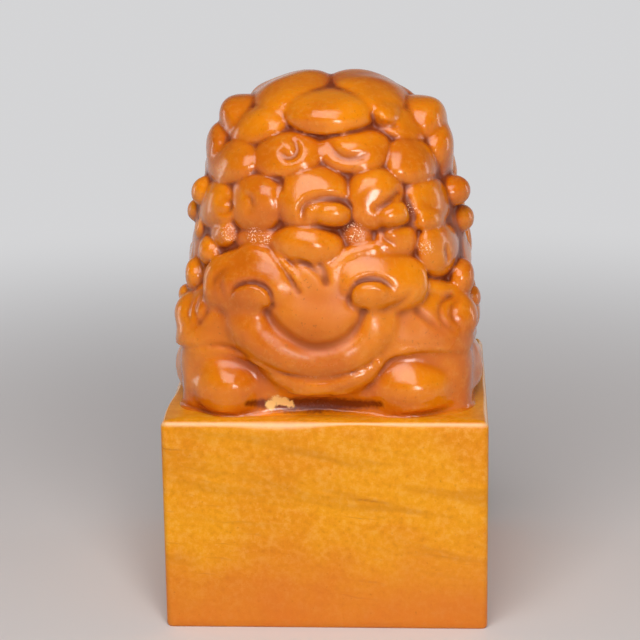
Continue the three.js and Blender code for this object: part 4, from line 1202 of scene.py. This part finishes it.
# %% Wires
class Wire:
    """An output of a material's nodes, used in arithmetic like a number."""

    def __init__(self, tree, socket=None):
        self.tree = tree
        self.socket = socket

    def add(self, kind, settings=None, values=None, out=0):
        """Adds a node, sets it, fills its inputs with values or wires, and returns one output."""
        node = self.tree.nodes.new(kind)
        for key, value in (settings or {}).items():
            setattr(node, key, value)
        for key, value in (values or {}).items():
            if isinstance(value, Wire):
                self.tree.links.new(value.socket, node.inputs[key])
            else:
                node.inputs[key].default_value = value
        return Wire(self.tree, node.outputs[out])

    def math(self, operation, a, b=0.0):
        return self.add("ShaderNodeMath", {"operation": operation}, {0: a, 1: b})

    def __add__(self, other):
        return self.math("ADD", self, other)

    def __sub__(self, other):
        return self.math("SUBTRACT", self, other)

    def __mul__(self, other):
        return self.math("MULTIPLY", self, other)

    def __rsub__(self, other):
        return self.math("SUBTRACT", other, self)

    __radd__ = __add__

    def between(self, low, high):
        """0 below low, 1 above high, with a soft rise from one to the other."""
        values = {"Value": self, "From Min": low, "From Max": high}
        return self.add("ShaderNodeMapRange", {"interpolation_type": "SMOOTHSTEP"}, values)

    def blend(self, colour_a, colour_b):
        """A colour between two, by this wire from 0 to 1."""
        return self.add("ShaderNodeMix", {"data_type": "RGBA"}, {0: self, 6: colour_a, 7: colour_b}, 2)

    def noise(self, scale, detail=2.0, roughness=0.5):
        """Cloudy noise at the place that this wire holds."""
        values = {"Vector": self, "Scale": scale, "Detail": detail, "Roughness": roughness}
        return self.add("ShaderNodeTexNoise", values=values)

    def carried(self, name):
        """A number that the mesh carries on its points."""
        return self.add("ShaderNodeAttribute", {"attribute_name": name}, out="Fac")


print("a wire's tools:", [name for name in vars(Wire) if not name.startswith("_")])

# %% [markdown]
# ## The stone
#
# The real stone is a warm amber that light enters, so edges and thin curls glow. Glass with a coloured volume would do
# that too, but is slow and noisy. Principled's subsurface carries the glow, and every finish of the stone shares it.

# %% Stone material
HONEY = (0.80, 0.245, 0.001, 1)
AMBER = (0.59, 0.136, 0.001, 1)
YELLOW = (0.82, 0.340, 0.002, 1)
TAWNY = (0.74, 0.258, 0.001, 1)
# painted shade for creases and the hollow under the chin
DEEP_SHADE = (0.18, 0.025, 0.001, 1)
SHADOW = (0.50, 0.085, 0.001, 1)
BROWN = (0.42, 0.110, 0.002, 1)
ROSE = (0.67, 0.172, 0.020, 1)
PALE = (0.90, 0.500, 0.120, 1)
# painted glow
PAINTED_GLOW = (0.95, 0.600, 0.210, 1)
# pale dust, painted bright as glints too
PALE_DUST_GLINT = (0.95, 0.620, 0.420, 1)
# painted highlight for the block's worn top edges
EDGE_HIGHLIGHT = (0.95, 0.560, 0.270, 1)
SHARED_FINISH = {
    "IOR": 1.5,
    "Subsurface Weight": 0.18,
    "Subsurface Radius": (1.0, 0.25, 0.03),
    "Subsurface Scale": 0.0010,
}
BUMP_DEPTH = 0.0001


def start_stone(name, specular):
    """A stone material with what all its finishes share, and a wire that holds the place on the stone."""
    material = bpy.data.materials.new(name)
    material.use_nodes = True
    shader = material.node_tree.nodes["Principled BSDF"]
    for socket, value in SHARED_FINISH.items():
        shader.inputs[socket].default_value = value
    shader.inputs["Specular IOR Level"].default_value = specular
    return material, Wire(material.node_tree).add("ShaderNodeTexCoord", out="Object")


def finish_stone(piece, material, colour, roughness, bumps, strength):
    """Joins the finished wires to the shader and gives the material to its piece."""
    tree = material.node_tree
    values = {"Height": bumps, "Strength": strength, "Distance": BUMP_DEPTH}
    bump = bumps.add("ShaderNodeBump", values=values)
    for wire, socket in ((colour, "Base Color"), (roughness, "Roughness"), (bump, "Normal")):
        tree.links.new(wire.socket, tree.nodes["Principled BSDF"].inputs[socket])
    piece.data.materials.append(material)
    print(material.name, "has", len(tree.nodes), "nodes")


print("shared finish:", SHARED_FINISH)

# %% [markdown]
# ## The polished carving
#
# The polished stone drifts between honey and amber in clouds, with fine dark specks. Creases and hollows are painted
# darker and redder as shade, and creases are also duller where the polish misses them. The nose and cheeks are matt, a
# few pits hold pale stone dust that is painted bright as glints too, and a pale patch under the chin is painted glow.
# Each look is one line that lays a colour over what is there, by the noise or the number that says where.

# %% Polished carving
carved_stone, place = start_stone("polished_carving", 0.5)
clouds = place.noise(90.0, 4.0, 0.55)
grain = place.noise(1500.0, 3.0, 0.7)
specks = place.noise(2600.0)
sparkle = place.noise(5200.0, 1.0)
crease, shade, dust, thin, hollow, matt = (
    place.carried(name) for name in ("crease", "shade", "dust", "thin", "hollow", "matt"))
in_crease = crease.between(0.05, 0.26)
colour = clouds.between(0.34, 0.66).blend(AMBER, HONEY)
colour = (grain.between(0.45, 0.75) * 0.15).blend(colour, PALE)
# painted shade: broad hollows darker
colour = (shade.between(0.0, 0.8) * 0.8).blend(colour, SHADOW)
# painted shade: a wide dark halo round each crease
colour = (crease.between(-0.08, 0.14) * 0.45).blend(colour, SHADOW)
# painted shade: creases dark red
colour = (in_crease * 0.9).blend(colour, DEEP_SHADE)
# painted shade: the hollow under the chin dark red, broken up by noise
colour = (hollow + (grain - 0.5) * 1.0 + (clouds - 0.5) * 0.6).between(0.15, 0.9).blend(colour, DEEP_SHADE)
colour = (matt * 0.5).blend(colour, AMBER)
colour = (specks.between(0.64, 0.72) * (0.35 + matt * 0.4)).blend(colour, BROWN)
# painted glow: a pale patch under the chin, as if light came through thin stone
colour = (thin + (clouds - 0.5) * 0.8 + (grain - 0.5) * 1.2).between(0.4, 0.8).blend(colour, PAINTED_GLOW)
# pale stone dust in a few pits, painted bright as glints too
colour = (dust.between(0.2, 0.7) * sparkle.between(0.56, 0.66)).blend(colour, PALE_DUST_GLINT)
roughness = grain * 0.16 + in_crease * 0.3 + dust * 0.2 + matt * 0.55 + 0.09
finish_stone(beast, carved_stone, colour, roughness, grain + dust * sparkle * 5, 0.22)

# %% [markdown]
# ## The satin block
#
# The block is yellower and only satin. Faint brown streaks and a few hairlines run nearly level, as beds in the stone,
# and the foot turns rosy. Stretched noise draws both: the place is squeezed in height before the noise reads it. The
# worn top edges shine a little more, and are painted paler as a highlight.

# %% Satin block
block_stone, place = start_stone("satin_block", 0.25)
clouds = place.noise(60.0, 5.0, 0.6)
grain = place.noise(1300.0, 4.0, 0.75)
specks = place.noise(2400.0)
patches = place.noise(85.0, 1.0)
worn_share = place.carried("worn")
x, y, z = (place.add("ShaderNodeSeparateXYZ", values={"Vector": place}, out=axis) for axis in "XYZ")
bed = z + x * 0.13 + (clouds - 0.5) * 0.003
streaks = place.add("ShaderNodeCombineXYZ", values={0: x * 40, 1: y * 40, 2: bed * 330}).noise(1.0, 3.0, 0.6)
hairline = place.add("ShaderNodeCombineXYZ", values={0: x * 110, 1: y * 110, 2: bed * 1600}).noise(1.0)
colour = (clouds * 0.6 + streaks * 0.4).between(0.38, 0.6).blend(TAWNY, YELLOW)
colour = (grain.between(0.45, 0.7) * 0.35).blend(colour, PALE)
colour = (0.3 - grain.between(0.25, 0.5) * 0.3).blend(colour, BROWN)
colour = (streaks.between(0.5, 0.72) * 0.35).blend(colour, BROWN)
in_hairline = hairline.between(0.6, 0.74) * patches.between(0.5, 0.66) * grain.between(0.35, 0.6)
colour = (in_hairline * 0.6).blend(colour, BROWN)
low = 1 - (z + clouds * 0.014 - x * 0.1).between(0.007, 0.021)
colour = (low * 0.75).blend(colour, ROSE)
colour = (specks.between(0.66, 0.73) * 0.3).blend(colour, BROWN)
# painted highlight: the worn top edges paler
colour = (worn_share * 0.85).blend(colour, EDGE_HIGHLIGHT)
finish_stone(block, block_stone, colour, grain * 0.16 + 0.3 - worn_share * 0.2, grain, 0.2)

# %% [markdown]
# ## The floor
#
# A photographer sets the seal on pale paper that curves up behind it. One large floor does for both: near the seal it
# takes light and shadow, and further out it glows evenly for the camera, also in mirrors and through glass. A curved
# sheet would need lamps of its own to be as even.

# %% Floor
FLOOR_HALF = 8.0
FLOOR_GREY = (0.72, 0.71, 0.70, 1)
BACKDROP_GREY = (0.66, 0.66, 0.67, 1)
BACKDROP_NEAR, BACKDROP_FAR = 0.05, 0.2


def seen_or_mirrored(wire):
    """1 for what the camera sees, also in a mirror or through glass."""
    direct, mirror, through = (wire.add("ShaderNodeLightPath", out="Is " + ray + " Ray")
                               for ray in ("Camera", "Glossy", "Transmission"))
    return wire.math("MAXIMUM", wire.math("MAXIMUM", direct, mirror), through)


floor_mesh = bpy.data.meshes.new("floor")
floor_mesh.from_pydata([(x * FLOOR_HALF, y * FLOOR_HALF, 0) for x, y in ((-1, -1), (1, -1), (1, 1), (-1, 1))], [],
                       [(0, 1, 2, 3)])
floor = bpy.data.objects.new("floor", floor_mesh)
bpy.context.collection.objects.link(floor)
floor_material = bpy.data.materials.new("pale_floor")
floor_material.use_nodes = True
floor.data.materials.append(floor_material)
floor_tree = floor_material.node_tree
paper = floor_tree.nodes["Principled BSDF"]
paper.inputs["Base Color"].default_value = FLOOR_GREY
paper.inputs["Roughness"].default_value = 0.9
here = Wire(floor_tree).add("ShaderNodeTexCoord", out="Object")
distance_out = here.add("ShaderNodeVectorMath", {"operation": "LENGTH"}, {0: here}, "Value")
backdrop_share = distance_out.between(BACKDROP_NEAR, BACKDROP_FAR) * seen_or_mirrored(here)
glow = here.add("ShaderNodeEmission", values={"Color": BACKDROP_GREY, "Strength": 1.0})
both = here.add("ShaderNodeMixShader", values={0: backdrop_share, 1: Wire(floor_tree, paper.outputs[0]), 2: glow})
floor_tree.links.new(both.socket, floor_tree.nodes["Material Output"].inputs["Surface"])
print("floor", 2 * FLOOR_HALF, "m wide, even from", BACKDROP_FAR, "m out")

# %% [markdown]
# ## The room
#
# The room fills the shadows with weak grey light, and the polish mirrors it, paler at the horizon. One grey for both
# would either flatten the carving or leave the mirror images black.

# %% Room
DARK_ABOVE = (0.08, 0.08, 0.09, 1)
MIRRORED_HORIZON = (0.50, 0.50, 0.51, 1)
FILL_HORIZON = (0.26, 0.26, 0.26, 1)

world = bpy.data.worlds.new("studio")
bpy.context.scene.world = world
world.use_nodes = True
world_tree = world.node_tree
sky = Wire(world_tree).add("ShaderNodeTexCoord", out="Generated")
height = sky.add("ShaderNodeSeparateXYZ", values={"Vector": sky}, out="Z")
room = height.between(0.02, 0.4).blend(MIRRORED_HORIZON, DARK_ABOVE)
fill = height.between(0.02, 0.6).blend(FILL_HORIZON, DARK_ABOVE)
light = seen_or_mirrored(sky).blend(fill, room)
world_tree.links.new(light.socket, world_tree.nodes["Background"].inputs["Color"])
print("world nodes:", len(world_tree.nodes))

# %% [markdown]
# ## The lamps
#
# The photo's long soft highlights look like those of a large light above the camera, and its small hard ones like
# a lamp at the right. Two weak strips behind draw the outline. Area lamps make all of them, and stay at a plain level.

# %% Lamps
BEAST_MIDDLE = (0, 0, 38)
LAMPS = {
    # place in millimetres, width, height, watts, colour
    "softbox_above": ((-25, -195, 300), 230, 250, 0.86, (1.0, 0.93, 0.91)),
    "lamp_right": ((98, -318, 124), 84, 84, 0.41, (1.0, 0.97, 0.95)),
    "strip_behind_left": ((-260, 110, 60), 40, 160, 0.06, (1, 1, 1)),
    "strip_behind_right": ((260, 110, 60), 40, 160, 0.06, (1, 1, 1)),
}
for name, (place_of_lamp, width, height_of_lamp, watts, colour_of_lamp) in LAMPS.items():
    lamp_data = bpy.data.lights.new(name, "AREA")
    lamp_data.shape = "RECTANGLE"
    lamp_data.size = width * MM
    lamp_data.size_y = height_of_lamp * MM
    lamp_data.energy = watts
    lamp_data.color = colour_of_lamp
    lamp = bpy.data.objects.new(name, lamp_data)
    bpy.context.collection.objects.link(lamp)
    lamp.location = Vector(place_of_lamp) * MM
    lamp.rotation_euler = (Vector(BEAST_MIDDLE) - Vector(place_of_lamp)).to_track_quat("-Z", "Y").to_euler()
bpy.context.scene.view_settings.view_transform = "Standard"
print("lamps:", len(LAMPS))

# %% [markdown]
# ## Joining the frame
#
# The two pieces now take the place of the CAD model's nodes. The knob is one stone, so one skin stands for all its
# nodes, and the block's piece stands for the block and its printing face.

# %% Finish
beast_nodes = [name for name in frame["nodes"] if name not in ("seal_block", "seal_face")]
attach(beast, "root")
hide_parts(*beast_nodes)
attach(block, "root")
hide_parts("seal_block", "seal_face")
